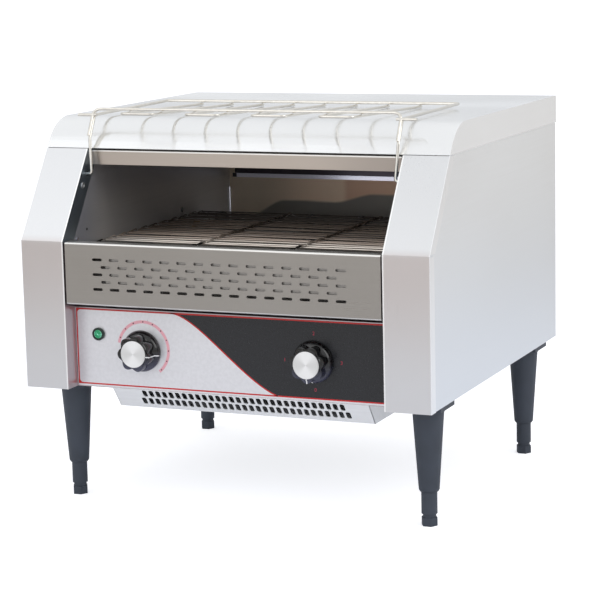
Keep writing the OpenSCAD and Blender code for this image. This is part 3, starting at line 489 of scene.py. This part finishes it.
inks = {
    "filmSilver": {"tint": (226, 226, 230), "rough": 0.3, "metal": 0.55},
    "inkBlack": {"tint": (28, 29, 33), "rough": 0.28},
    "inkRed": {"tint": (196, 30, 30), "rough": 0.3},
    "inkPink": {"tint": (232, 170, 181), "rough": 0.35},
    "inkDark": {"tint": (44, 22, 30), "rough": 0.35},
    "markRed": {"tint": (176, 40, 66), "rough": 0.35},
    "markWhite": {"tint": (246, 246, 248), "rough": 0.35},
    "lensPale": {"tint": (150, 232, 204), "rough": 0.35},
}
finishes = {name: brushedSteel(name, s, steelNoise) for name, s in steels.items()}
finishes.update({name: moulded(name, s, moulding) for name, s in plastics.items()})
finishes.update({name: printed(name, printing, **s) for name, s in inks.items()})
finishes["quartz"] = clearPart("quartz", glass, (214, 206, 198), 0.3)
finishes["lensGreen"] = clearPart("lensGreen", glass, (0, 148, 92), 0.45)
finishes["speedCap"] = spunMetal("speedCap", "speed_knob_cap", spin)
finishes["switchCap"] = spunMetal("switchCap", "switch_knob_cap", spin)

nodeFinish = {
    "steelTop": ["top_cover"],
    "steelSide": ["side_panel_left", "side_panel_right", "back_panel"],
    "steelPillar": ["front_pillar_left", "front_pillar_right", "control_panel"],
    "steelBand": ["front_band"],
    "steelLintel": ["lintel"],
    "steelInner": ["bay_front_wall", "upper_reflector", "lower_reflector", "belt_support",
                   "bay_floor"],
    "steelWall": ["chamber_wall_left", "chamber_wall_right"],
    "steelLip": ["rear_baffle"],
    "steelTinted": ["rear_wall"],
    "steelZinc": ["base_plate", "compartment_wall", "tray_runners"],
    "steelPan": ["intake_pan", "toast_slide", "crumb_tray"],
    "steelWire": ["rack_frame", "rack_slats", "back_panel_screws", "leg_nuts"],
    "steelBelt": ["wire_belt"],
    "steelShaft": ["drive_shaft", "idler_shaft", "motor_shaft"],
    "steelWheel": ["drive_sprockets", "idler_sprockets", "chain_wheel", "motor_sprocket",
                   "drive_chain"],
    "bronze": ["shaft_bearings"],
    "motorPaint": ["gear_motor"],
    "legSlate": ["legs", "foot_front_left", "foot_front_right", "foot_rear_left",
                 "foot_rear_right"],
    "blackMatt": ["fan_frame", "fan_rotor", "cord_bushing"],
    "bezelGreen": ["lamp_bezel"],
    "blackGloss": ["speed_knob", "switch_knob"],
    "ivory": ["speed_regulator", "rotary_switch"],
    "ceramic": ["heater_caps", "terminal_block"],
    "quartz": ["heater_tubes_upper", "heater_tubes_lower"],
    "filmSilver": ["panel_overlay"],
    "lensGreen": ["lamp_lens"],
    "speedCap": ["speed_knob_cap"],
    "switchCap": ["switch_knob_cap"],
}
for finish, names in nodeFinish.items():
    for name in names:
        for materialSlot in nodes[name].material_slots:
            materialSlot.material = finishes[finish]
print("finishes:", len(finishes))

# outlines, sheets and wires


def only(piece):
    bpy.ops.object.select_all(action="DESELECT")
    piece.select_set(True)
    bpy.context.view_layer.objects.active = piece


def dress(piece, finish, body):
    piece.data.materials.clear()
    piece.data.materials.append(finishes[finish])
    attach(piece, body)


def smoothUpTo(angle):
    bpy.ops.object.shade_smooth_by_angle(angle=math.radians(angle))


def meshOfLines(name, settings, lines, closed):
    # a mesh from a curve with these settings, along lines of points in metres
    curve = bpy.data.curves.new(name, "CURVE")
    for key, value in settings.items():
        setattr(curve, key, value)
    for line in lines:
        spline = curve.splines.new("POLY")
        spline.points.add(len(line) - 1)
        for point, place in zip(spline.points, line):
            point.co = (*place, 1)
        spline.use_cyclic_u = closed
    piece = bpy.data.objects.new(name, curve)
    bpy.context.scene.collection.objects.link(piece)
    only(piece)
    bpy.ops.object.convert(target="MESH")
    return bpy.context.object


def sheetShape(name, outlines, thick):
    # a flat sheet drawn as X against Y, its near face at Z = 0 and its far face at Z = -thick;
    # an outline within the first one is a hole
    settings = {"dimensions": "2D", "fill_mode": "BOTH", "extrude": thick * mm / 2}
    lines = [[(x * mm, y * mm, 0) for x, y in outline] for outline in outlines]
    piece = meshOfLines(name, settings, lines, True)
    piece.data.transform(Matrix.Translation((0, 0, -thick * mm / 2)))
    return piece


def standUp(piece, front):
    # a shape drawn flat as X against Y stands as X against Z, its near face at the given depth
    turn = Matrix.Rotation(math.pi / 2, 4, "X")
    piece.data.transform(Matrix.Translation((0, front, 0)) @ turn)


def flatShape(name, outlines, back, thick, finish, body="chassis"):
    # a standing flat piece whose back lies on the given depth
    piece = sheetShape(name, outlines, thick)
    standUp(piece, back - thick * mm)
    dress(piece, finish, body)
    return piece


def drape(piece, under, lift):
    # moves each corner along Y until it lies on the front of what is under it, a little proud
    bpy.context.view_layer.update()
    for corner in piece.data.vertices:
        start = Vector((corner.co.x, corner.co.y - 50 * mm, corner.co.z))
        hit, place, normal, face = under.ray_cast(start, Vector((0, 1, 0)))
        if hit:
            corner.co.y = place.y - lift * mm


def arcPoints(middle, radius, start, end, steps):
    angles = [math.radians(start + (end - start) * i / steps) for i in range(steps + 1)]
    return [(middle[0] + radius * math.cos(a), middle[1] + radius * math.sin(a)) for a in angles]


def circlePoints(middle, radius, count):
    return arcPoints(middle, radius, 0, 360 - 360 / count, count - 1)


def bezierPoints(points, steps):
    found = []
    for i in range(steps + 1):
        t = i / steps
        weights = ((1 - t) ** 3, 3 * t * (1 - t) ** 2, 3 * t * t * (1 - t), t ** 3)
        found.append(tuple(sum(w * p[k] for w, p in zip(weights, points)) for k in (0, 1)))
    return found


def ribbon(points, width):
    # the outline of a line of that width through the points
    left, right = [], []
    for i, (x, z) in enumerate(points):
        x0, z0 = points[max(i - 1, 0)]
        x1, z1 = points[min(i + 1, len(points) - 1)]
        along = math.hypot(x1 - x0, z1 - z0)
        nx, nz = (z0 - z1) / along * width / 2, (x1 - x0) / along * width / 2
        left.append((x + nx, z + nz))
        right.append((x - nx, z - nz))
    return left + right[::-1]


def roundedPath(points, radius, steps=6):
    # the points joined by straight lines, with every corner bent
    path = [points[0]]
    for before, corner, after in zip(points, points[1:], points[2:]):
        u, v = (corner - before).normalized(), (after - corner).normalized()
        cut = radius * math.tan(u.angle(v) / 2)
        first, last = corner - u * cut, corner + v * cut
        for i in range(steps + 1):
            t = i / steps
            path.append(first * (1 - t) ** 2 + corner * 2 * t * (1 - t) + last * t * t)
    return path + [points[-1]]


def wireSettings(radius, roundness):
    return {"dimensions": "3D", "bevel_depth": radius * mm, "bevel_resolution": roundness,
            "use_fill_caps": True}


def bentWire(name, paths, thick, bend, finish, body):
    # round wires through points given in millimetres
    lines = [roundedPath([Vector(p) * mm for p in points], radius * mm)
             for points, radius in zip(paths, bend)]
    piece = meshOfLines(name, wireSettings(thick / 2, 3), lines, False)
    smoothUpTo(50)
    dress(piece, finish, body)
    return piece


def centreOf(node):
    # the middle of a node seen from the front, in millimetres
    low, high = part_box(node)
    middle = (low + high) / 2 / mm
    return middle.x, middle.z


# printed panel

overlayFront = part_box("panel_overlay")[0].y
inkThick = 0.06
panelPrint = {
    "left": -181, "right": 182.2, "top": 218.7, "bottom": 136.6, "line": 1.5, "corner": 4,
    "divide": ((-67.2, 218.7), (-37.4, 218.7), (15.4, 150.4), (55.3, 136.6)), "curveLine": 1.3,
}


def makePanelPrint(p):
    # a black field with a curved edge, and a red border and curve over it
    low, high = p["bottom"], p["top"]
    divide = bezierPoints(p["divide"], 40)
    blackField = divide + [(p["right"], low), (p["right"], high)]
    flatShape("panel_black_field", [blackField], overlayFront, inkThick, "inkBlack")
    half, r = p["line"] / 2, p["corner"]
    outX, middleX = p["left"] - half, p["left"] + half + r
    inner = arcPoints((middleX, low + half + r), r, 270, 180, 8)
    inner += arcPoints((middleX, high - half - r), r, 180, 90, 8)
    outer = [(p["right"], high + half), (outX, high + half), (outX, low - half),
             (p["right"], low - half)]
    border = outer + [(p["right"], low + half)] + inner + [(p["right"], high - half)]
    over = overlayFront - inkThick * mm
    flatShape("panel_red_border", [border], over, inkThick, "inkRed")
    flatShape("panel_red_curve", [ribbon(divide, p["curveLine"])], over, inkThick, "inkRed")


speedScale = {
    "middle": (-100.9, 178), "radius": 29.8, "width": 3.2, "from": 169, "to": -52,
    "dots": 10, "firstDot": 157.5, "dotStep": -22.6, "dotSize": 1.5,
}


def makeSpeedScale(s):
    outer = arcPoints(s["middle"], s["radius"] + s["width"] / 2, s["from"], s["to"], 72)
    inner = arcPoints(s["middle"], s["radius"] - s["width"] / 2, s["to"], s["from"], 72)
    flatShape("speed_scale_arc", [outer + inner], overlayFront, inkThick, "inkPink")
    dots = []
    for i in range(s["dots"]):
        angle = s["firstDot"] + i * s["dotStep"]
        middle = arcPoints(s["middle"], s["radius"], angle, 0, 1)[0]
        dots.append(circlePoints(middle, s["dotSize"] / 2, 12))
    flatShape("speed_scale_dots", dots, overlayFront - inkThick * mm, inkThick, "inkDark")


switchMarks = {
    "middle": (97, 176), "size": 5.4,
    "marks": (("0", 1.6, -30.2), ("1", -32.5, 0), ("2", 0.6, 29.6), ("3", 31.5, 0)),
}


def makeSwitchMarks(s):
    for text, x, z in s["marks"]:
        bpy.ops.object.text_add()
        mark = bpy.context.object
        mark.name = "switch_mark_" + text
        mark.data.body = text
        mark.data.size = s["size"] * mm
        mark.data.extrude = inkThick / 2 * mm
        mark.data.align_x = "CENTER"
        mark.data.align_y = "CENTER"
        only(mark)
        bpy.ops.object.convert(target="MESH")
        mark = bpy.context.object
        place = Vector((s["middle"][0] + x, s["middle"][1] + z, 0)) * mm
        mark.data.transform(Matrix.Translation(place))
        standUp(mark, overlayFront - 1.5 * inkThick * mm)
        dress(mark, "markRed", "chassis")


makePanelPrint(panelPrint)
makeSpeedScale(speedScale)
makeSwitchMarks(switchMarks)
print("printed panel")

# lamp, knob grips and their marks

lamp = {
    "lens": 5.1, "dome": 1.7, "ring": 4.4, "ringWidth": 0.8, "wave": 1.4, "rise": 1.1,
    "reach": 3.7, "lift": 0.05,
}


def makeLens(m):
    # a shallow green dome over the lamp, with a pale ring and a wave moulded on it
    x, z = centreOf("lamp_lens")
    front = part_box("lamp_lens")[0].y
    bpy.ops.mesh.primitive_uv_sphere_add(segments=48, ring_count=24, radius=1)
    lens = bpy.context.object
    lens.name = "lamp_lens_dome"
    place = Matrix.Translation((x * mm, front + m["dome"] * mm, z * mm))
    size = Matrix.Diagonal((m["lens"] * mm, m["dome"] * mm, m["lens"] * mm, 1))
    lens.data.transform(place @ size)
    only(lens)
    bpy.ops.object.shade_smooth()
    dress(lens, "lensGreen", "chassis")
    half = m["ringWidth"] / 2
    ring = [circlePoints((x, z), m["ring"] + side * half, 36) for side in (1, -1)]
    steps = [i / 12 - 1 for i in range(25)]
    swing = [(x + m["reach"] * t, z - m["rise"] * math.sin(math.pi * t)) for t in steps]
    wave = [ribbon(swing, m["wave"])]
    for name, outlines in (("lamp_lens_ring", ring), ("lamp_lens_wave", wave)):
        piece = flatShape(name, outlines, front, 0.0, "lensPale")
        drape(piece, lens, m["lift"])


grip = {
    "lobes": 7, "lobe": 19.7, "valley": 16.2, "fullness": 0.6, "front": 1.5, "deep": 12.0,
    "edge": 0.7, "steps": 16,
}


def makeGrip(g, node, body, angle):
    # lobes that stand out round the cap
    x, z = centreOf(node)
    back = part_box(node)[0].y + (g["front"] + g["deep"]) * mm
    outline = []
    for i in range(g["lobes"] * g["steps"]):
        turn = math.tau * i / (g["lobes"] * g["steps"])
        swell = (0.5 + 0.5 * math.cos(g["lobes"] * turn)) ** g["fullness"]
        radius = g["valley"] + (g["lobe"] - g["valley"]) * swell
        outline.append((x + radius * math.cos(turn + math.radians(angle)),
                        z + radius * math.sin(turn + math.radians(angle))))
    name = node + "_grip"
    piece = flatShape(name, [outline], back, g["deep"], "blackGloss", body)
    only(piece)
    bpy.ops.object.mode_set(mode="EDIT")
    bpy.ops.mesh.select_all(action="SELECT")
    bpy.ops.mesh.remove_doubles(threshold=0.01 * mm)
    bpy.ops.object.mode_set(mode="OBJECT")
    edge = piece.modifiers.new("edge", "BEVEL")
    edge.width = g["edge"] * mm
    edge.segments = 3
    edge.limit_method = "ANGLE"
    edge.angle_limit = math.radians(60)
    bpy.ops.object.modifier_apply(modifier="edge")
    smoothUpTo(40)
    return piece


pointer = {
    "width": 1.1, "lift": 0.12, "thick": 0.08, "from": 14.7, "to": 22.3, "step": 0.25,
    "ahead": -300,
}


def makePointer(m, node, body, angle, lobed):
    # a painted line from the cap's edge over the grip and out along the skirt
    x, z = centreOf(node)
    along = Vector((math.cos(math.radians(angle)), 0, math.sin(math.radians(angle))))
    across = Vector((-along.z, 0, along.x)) * m["width"] * mm
    steps = int((m["to"] - m["from"]) / m["step"])
    bpy.context.view_layer.update()
    line = []
    for i in range(steps + 1):
        radius = (m["from"] + i * m["step"]) * mm
        start = Vector((x * mm, m["ahead"] * mm, z * mm)) + along * radius
        found = [part.ray_cast(start, Vector((0, 1, 0))) for part in (nodes[node], lobed)]
        line.append((radius, min(place.y for hit, place, normal, face in found if hit)))
    bpy.ops.mesh.primitive_grid_add(x_subdivisions=steps, y_subdivisions=1, size=1)
    piece = bpy.context.object
    piece.name = node + "_mark"
    for corner in piece.data.vertices:
        i = round((corner.co.x + 0.5) * steps)
        r0, y0 = line[max(i - 1, 0)]
        r1, y1 = line[min(i + 1, steps)]
        length = math.hypot(r1 - r0, y1 - y0)
        radius, y = line[i]
        radius += (y1 - y0) / length * m["lift"] * mm
        y -= (r1 - r0) / length * m["lift"] * mm
        corner.co = Vector((x * mm, y, z * mm)) + along * radius + across * corner.co.y
    only(piece)
    solid = piece.modifiers.new("thick", "SOLIDIFY")
    solid.thickness = m["thick"] * mm
    solid.offset = 0
    bpy.ops.object.modifier_apply(modifier="thick")
    bpy.ops.object.mode_set(mode="EDIT")
    bpy.ops.mesh.select_all(action="SELECT")
    bpy.ops.mesh.normals_make_consistent(inside=False)
    bpy.ops.object.mode_set(mode="OBJECT")
    dress(piece, "markWhite", body)


knobs = (
    # node, body, angle of the pointer, angle of one lobe
    ("speed_knob", "speed_dial", -9, 29.7),
    ("switch_knob", "switch_dial", -90, 270),
)
makeLens(lamp)
for node, body, pointerAngle, lobeAngle in knobs:
    lobed = makeGrip(grip, node, body, lobeAngle)
    makePointer(pointer, node, body, pointerAngle, lobed)
print("lamp and knobs")

# rack and small parts of the chamber

rack = {
    "wire": 3.5, "clear": 0.02, "arm": 179.0, "hook": 176.5, "hookEnd": 188.0,
    "hookAt": (-163.0, 361.5), "kink": (-159.5, 400.0), "top": (-147.0, 424.0),
    "back": (31.5, 425.3), "lean": (0.462, 0.887), "foot": 1.2, "rise": 31.5,
    "stop": (174.0, 196.5), "stopDrop": 1.5, "bends": (3.5, 9.0, 1, 1),
}


def makeRack(r):
    # hooks, arms and the frame in one wire, a cross wire and two stops welded on
    lean = Vector((0, *r["lean"]))
    gap = (r["wire"] + r["clear"]) * Vector((0, -r["lean"][1], r["lean"][0]))
    foot = Vector((0, *r["kink"])) + lean * r["foot"] + gap
    bar = foot + lean * r["rise"]
    stopAt = Vector((0, *r["top"])) - lean * r["stopDrop"] + gap
    arm = r["arm"]
    left = [(-r["hookEnd"], *r["hookAt"]), (-r["hook"], *r["hookAt"]), (-arm, *r["kink"]),
            (-arm, *r["top"]), (-arm, *r["back"])]
    frameLine = left + [(-x, y, z) for x, y, z in left[::-1]]
    cross = [(x, p.y, p.z) for x, p in ((-arm, foot), (-arm, bar), (arm, bar), (arm, foot))]
    stops = [[(side * x, stopAt.y, stopAt.z) for x in r["stop"]] for side in (-1, 1)]
    piece = bentWire("rack_frame_wire", [frameLine, cross] + stops, r["wire"], r["bends"],
                     "steelWire", "rack")
    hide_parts("rack_frame")


smallWires = {
    # name: points, thickness, bend
    "rear_corner_roll": (((-183.3, 204.2, 262), (-183.3, 204.2, 304)), 3.4, 1),
    "wall_rivet": (((-184.6, -188.3, 292.8), (-182.6, -188.3, 292.8)), 3.2, 1),
}
eyelet = {"place": (-182.9, -172.3, 349.6), "radius": 2.6, "wireRadius": 0.9}
# the wall hole is a thin black disc: painted shade where the hole is dark
wallHole = {"place": (-183.9, -165.2, 300.6), "radius": 1.6, "deep": 0.1}


def putSideways(piece, place):
    # something made round Z comes to its place with its axis along X
    turn = Matrix.Rotation(math.pi / 2, 4, "Y")
    piece.data.transform(Matrix.Translation(Vector(place) * mm) @ turn)


def makeSmallParts():
    for name, (points, thick, bend) in smallWires.items():
        bentWire(name, [points], thick, [bend], "steelRoll", "chassis")
    bpy.ops.mesh.primitive_torus_add(major_radius=eyelet["radius"] * mm,
                                     minor_radius=eyelet["wireRadius"] * mm)
    ring = bpy.context.object
    ring.name = "wall_eyelet"
    putSideways(ring, eyelet["place"])
    only(ring)
    bpy.ops.object.shade_smooth()
    dress(ring, "steelZinc", "chassis")
    # painted shade: a thin black disc stands for the dark inside of the hole
    bpy.ops.mesh.primitive_cylinder_add(radius=wallHole["radius"] * mm,
                                        depth=wallHole["deep"] * mm)
    hole = bpy.context.object
    hole.name = "wall_hole"
    putSideways(hole, wallHole["place"])
    dress(hole, "blackMatt", "chassis")


makeRack(rack)
makeSmallParts()
print("rack and small parts")

# slotted sheets


def softSlot(x, z, wide, high, corner):
    # a slot with round corners, its points in order
    points = []
    for side, top, start in ((1, 1, 0), (-1, 1, 90), (-1, -1, 180), (1, -1, 270)):
        middle = (x + side * (wide / 2 - corner), z + top * (high / 2 - corner))
        points += arcPoints(middle, corner, start, start + 90, 5)
    return points


def profile(name, outline, length, end):
    # a section drawn as depth against height, drawn out along X up to its right-hand end
    piece = sheetShape(name, [outline], length)
    turn = Matrix(((0, 0, 1, end * mm), (1, 0, 0, 0), (0, 1, 0, 0), (0, 0, 0, 1)))
    piece.data.transform(turn)
    return piece


def joinAs(name, parts):
    only(parts[0])
    for part in parts:
        part.select_set(True)
    bpy.ops.object.join()
    piece = bpy.context.object
    piece.name = name
    smoothUpTo(35)
    return piece


band = {
    "half": 181.0, "front": -221.2, "low": 226.5, "high": 294.0, "deep": 13.0, "sheet": 1.0,
    "bend": 2.2, "rows": 5, "topRow": 276.5, "rowStep": 8.0, "middle": -2.3, "slots": 15,
    "pitch": 20.0, "slot": (11.6, 3.0), "slotCorner": 1.49,
    "stud": 3.0, "studs": ((-213.2, 241.5), (-213.2, 279.0)), "opening": 183.0,
}


def makeBand(b):
    # a slotted face, a folded edge above and below, an end plate and two studs on each side
    half, front, bend, sheet = b["half"], b["front"], b["bend"], b["sheet"]
    rear, low, high = front + b["deep"], b["low"], b["high"]
    outlines = [[(-half, low + bend), (half, low + bend), (half, high - bend),
                 (-half, high - bend)]]
    for row in range(b["rows"]):
        slots = b["slots"] - row % 2
        for i in range(slots):
            x = b["middle"] + (i - (slots - 1) / 2) * b["pitch"]
            z = b["topRow"] - row * b["rowStep"]
            outlines.append(softSlot(x, z, *b["slot"], b["slotCorner"]))
    face = sheetShape("band_face", outlines, sheet)
    standUp(face, front * mm)
    parts = [face]
    for edge, side in ((high, 1), (low, -1)):
        middle = (front + bend, edge - side * bend)
        outer = arcPoints(middle, bend, 90 * side, 180 * side, 8)
        inner = arcPoints(middle, bend - sheet, 180 * side, 90 * side, 8)
        fold = [(rear, edge)] + outer + inner + [(rear, edge - side * sheet)]
        parts.append(profile("band_fold", fold[::side], 2 * half, half))
    inside = front + sheet
    plate = [(inside, low + bend), (rear, low + bend), (rear, high - bend), (inside, high - bend)]
    for end in (half, -half + sheet):
        parts.append(profile("band_end", plate, sheet, end))
    for place in b["studs"]:
        for end in (b["opening"], -half):
            circle = circlePoints(place, b["stud"], 24)
            parts.append(profile("band_stud", circle, b["opening"] - half, end))
    piece = joinAs("front_band_sheet", parts)
    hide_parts("front_band")
    dress(piece, "steelBand", "chassis")


pan = {
    "left": -140.0, "right": 158.0, "sheet": 0.8,
    # its section as depth and height
    "top": (-200.5, 133.0), "toe": (-183.0, 110.0), "heel": (-76.0, 110.0), "back": (-60.0, 133.0),
    "inset": 0.4, "rim": 1.0,
    # slots along X, their rows measured down the slope from the top
    "slot": (5.4, 10.2), "corner": 2.0, "pitch": 7.93, "first": -107.1, "rows": (6.0, 18.1),
    "count": 30,
}


def makePan(q):
    # a slotted slope at the front, two end plates, and the underside with its sloping back
    section = [q["top"], q["toe"], q["heel"], q["back"]]
    (topY, topZ), (toeY, toeZ), (heelY, heelZ), (backY, backZ) = section
    sheet, left, right, inset = q["sheet"], q["left"], q["right"], q["inset"]
    length = math.hypot(toeY - topY, toeZ - topZ)
    outlines = [[(left, 0), (right, 0), (right, length), (left, length)]]
    for row, down in enumerate(q["rows"]):
        for i in range(q["count"] + row):
            x = q["first"] + (i + (1 - row) / 2) * q["pitch"]
            outlines.append(softSlot(x, length - down, *q["slot"], q["corner"]))
    face = sheetShape("pan_face", outlines, sheet)
    up = Vector((0, topY - toeY, topZ - toeZ)).normalized()
    out = Vector((1, 0, 0)).cross(up)
    face.data.transform(Matrix(((1, 0, 0, 0), (0, up.y, out.y, toeY * mm),
                                (0, up.z, out.z, toeZ * mm), (0, 0, 0, 1))))
    parts = [face]
    for end in (right, left + sheet):
        parts.append(profile("pan_end", section, sheet, end))
    under = [(toeY + inset, toeZ), (heelY, heelZ), (backY, backZ), (backY - q["rim"], backZ),
             (heelY - inset, heelZ + sheet), (toeY + 2 * inset, toeZ + sheet)]
    parts.append(profile("pan_under", under, right - left - 2 * sheet, right - sheet))
    piece = joinAs("intake_pan_sheet", parts)
    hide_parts("intake_pan")
    dress(piece, "steelPan", "chassis")


makeBand(band)
makePan(pan)
print("slotted sheets")

# wire belt

belt = {
    # run and wrap are the numbers of strands along one side and round one shaft
    "wireRadius": 0.85, "pitch": 272 / 21, "run": 21, "wrap": 5, "half": 178.0,
    "lanes": (-58, 58), "side": 1.4, "steps": 10,
    # the shape of a hook
    "hook": 0.95, "over": 1.1, "reach": 2.1, "turn": 0.9, "turnUp": 0.25, "crest": (-2.2, 0.4),
    "tip": (0.2, 0.9), "tipUp": 0.1,
    # how much a strand bows up and along the belt
    "waver": 0.5, "sway": 0.8, "seed": 7,
}


def strandPlace(b, i):
    # along Y and Z: back along the top, round the rear shaft, forward below, round the front shaft
    frontLow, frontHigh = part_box("idler_shaft")
    backLow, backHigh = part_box("drive_shaft")
    front, back = (frontLow + frontHigh) / 2 / mm, (backLow + backHigh) / 2 / mm
    run, wrap = b["run"], b["wrap"]
    radius = b["pitch"] / 2 / math.sin(math.pi / 2 / wrap)
    i %= 2 * (run + wrap)
    if i <= run:
        return Vector((front.y + i * b["pitch"], front.z + radius))
    if i <= run + wrap:
        turn = math.pi * (i - run) / wrap
        return Vector((back.y + radius * math.sin(turn), back.z + radius * math.cos(turn)))
    if i <= 2 * run + wrap:
        return Vector((back.y - (i - run - wrap) * b["pitch"], back.z - radius))
    turn = math.pi * (i - 2 * run - wrap) / wrap
    return Vector((front.y - radius * math.sin(turn), front.z - radius * math.cos(turn)))


def strandPath(b, side):
    # one strand: across, along the belt and up, its hooks bent over the next strand
    pitch, over, turn = b["pitch"], b["over"], b["turn"]
    reach = pitch + b["reach"]
    leg = ((turn, b["turnUp"]), (pitch + b["crest"][0], over), (pitch + b["crest"][1], over),
           (reach - b["tip"][0], over - b["tip"][1]), (reach, b["tipUp"]))
    edge = b["half"] - b["side"] + side * b["side"]
    steps = range(1, b["steps"])
    path = [(-edge, u, v) for u, v in leg[::-1]] + [(-edge + turn, 0, 0)]
    for lane in b["lanes"]:
        x0 = lane + side * b["side"] - b["hook"]
        x1 = lane + side * b["side"] + b["hook"]
        before = path[-1][0]
        path += [(before + (x0 - before) * k / b["steps"], 0, 0) for k in steps]
        path += [(x0 - turn, 0, 0)] + [(x0, u, v) for u, v in leg]
        path += [(x1, u, v) for u, v in leg[::-1]] + [(x1 + turn, 0, 0)]
    before = path[-1][0]
    end = edge - turn
    path += [(before + (end - before) * k / b["steps"], 0, 0) for k in steps] + [(end, 0, 0)]
    return path + [(edge, u, v) for u, v in leg]


def makeBelt(b):
    # hooked strands side by side round both shafts, each a little bowed in its own way
    draw = random.Random(b["seed"])
    strands = []
    for i in range(2 * (b["run"] + b["wrap"])):
        here, ahead = strandPlace(b, i), strandPlace(b, i + 1)
        forward = (ahead - here).normalized()
        up = Vector((-forward.y, forward.x))
        bow = [(draw.uniform(-1, 1), draw.uniform(0, math.tau)) for wave in range(4)]
        strand = []
        for x, u, v in strandPath(b, 1 if i % 2 else -1):
            t = (x + b["half"]) / (2 * b["half"])
            swing = [size * math.sin(math.tau * t * (k % 2 + 1) / 2 + phase)
                     for k, (size, phase) in enumerate(bow)]
            lift = (swing[0] + swing[1]) * b["waver"]
            slip = (swing[2] + swing[3]) * b["sway"]
            place = here + forward * (u + slip) + up * (v + lift)
            strand.append((x * mm, place.x * mm, place.y * mm))
        strands.append(strand)
    settings = wireSettings(b["wireRadius"], 1)
    piece = meshOfLines("wire_belt_strands", settings, strands, False)
    smoothUpTo(50)
    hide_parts("wire_belt")
    dress(piece, "steelBelt", "chassis")
    print("belt:", len(piece.data.polygons), "faces")


makeBelt(belt)
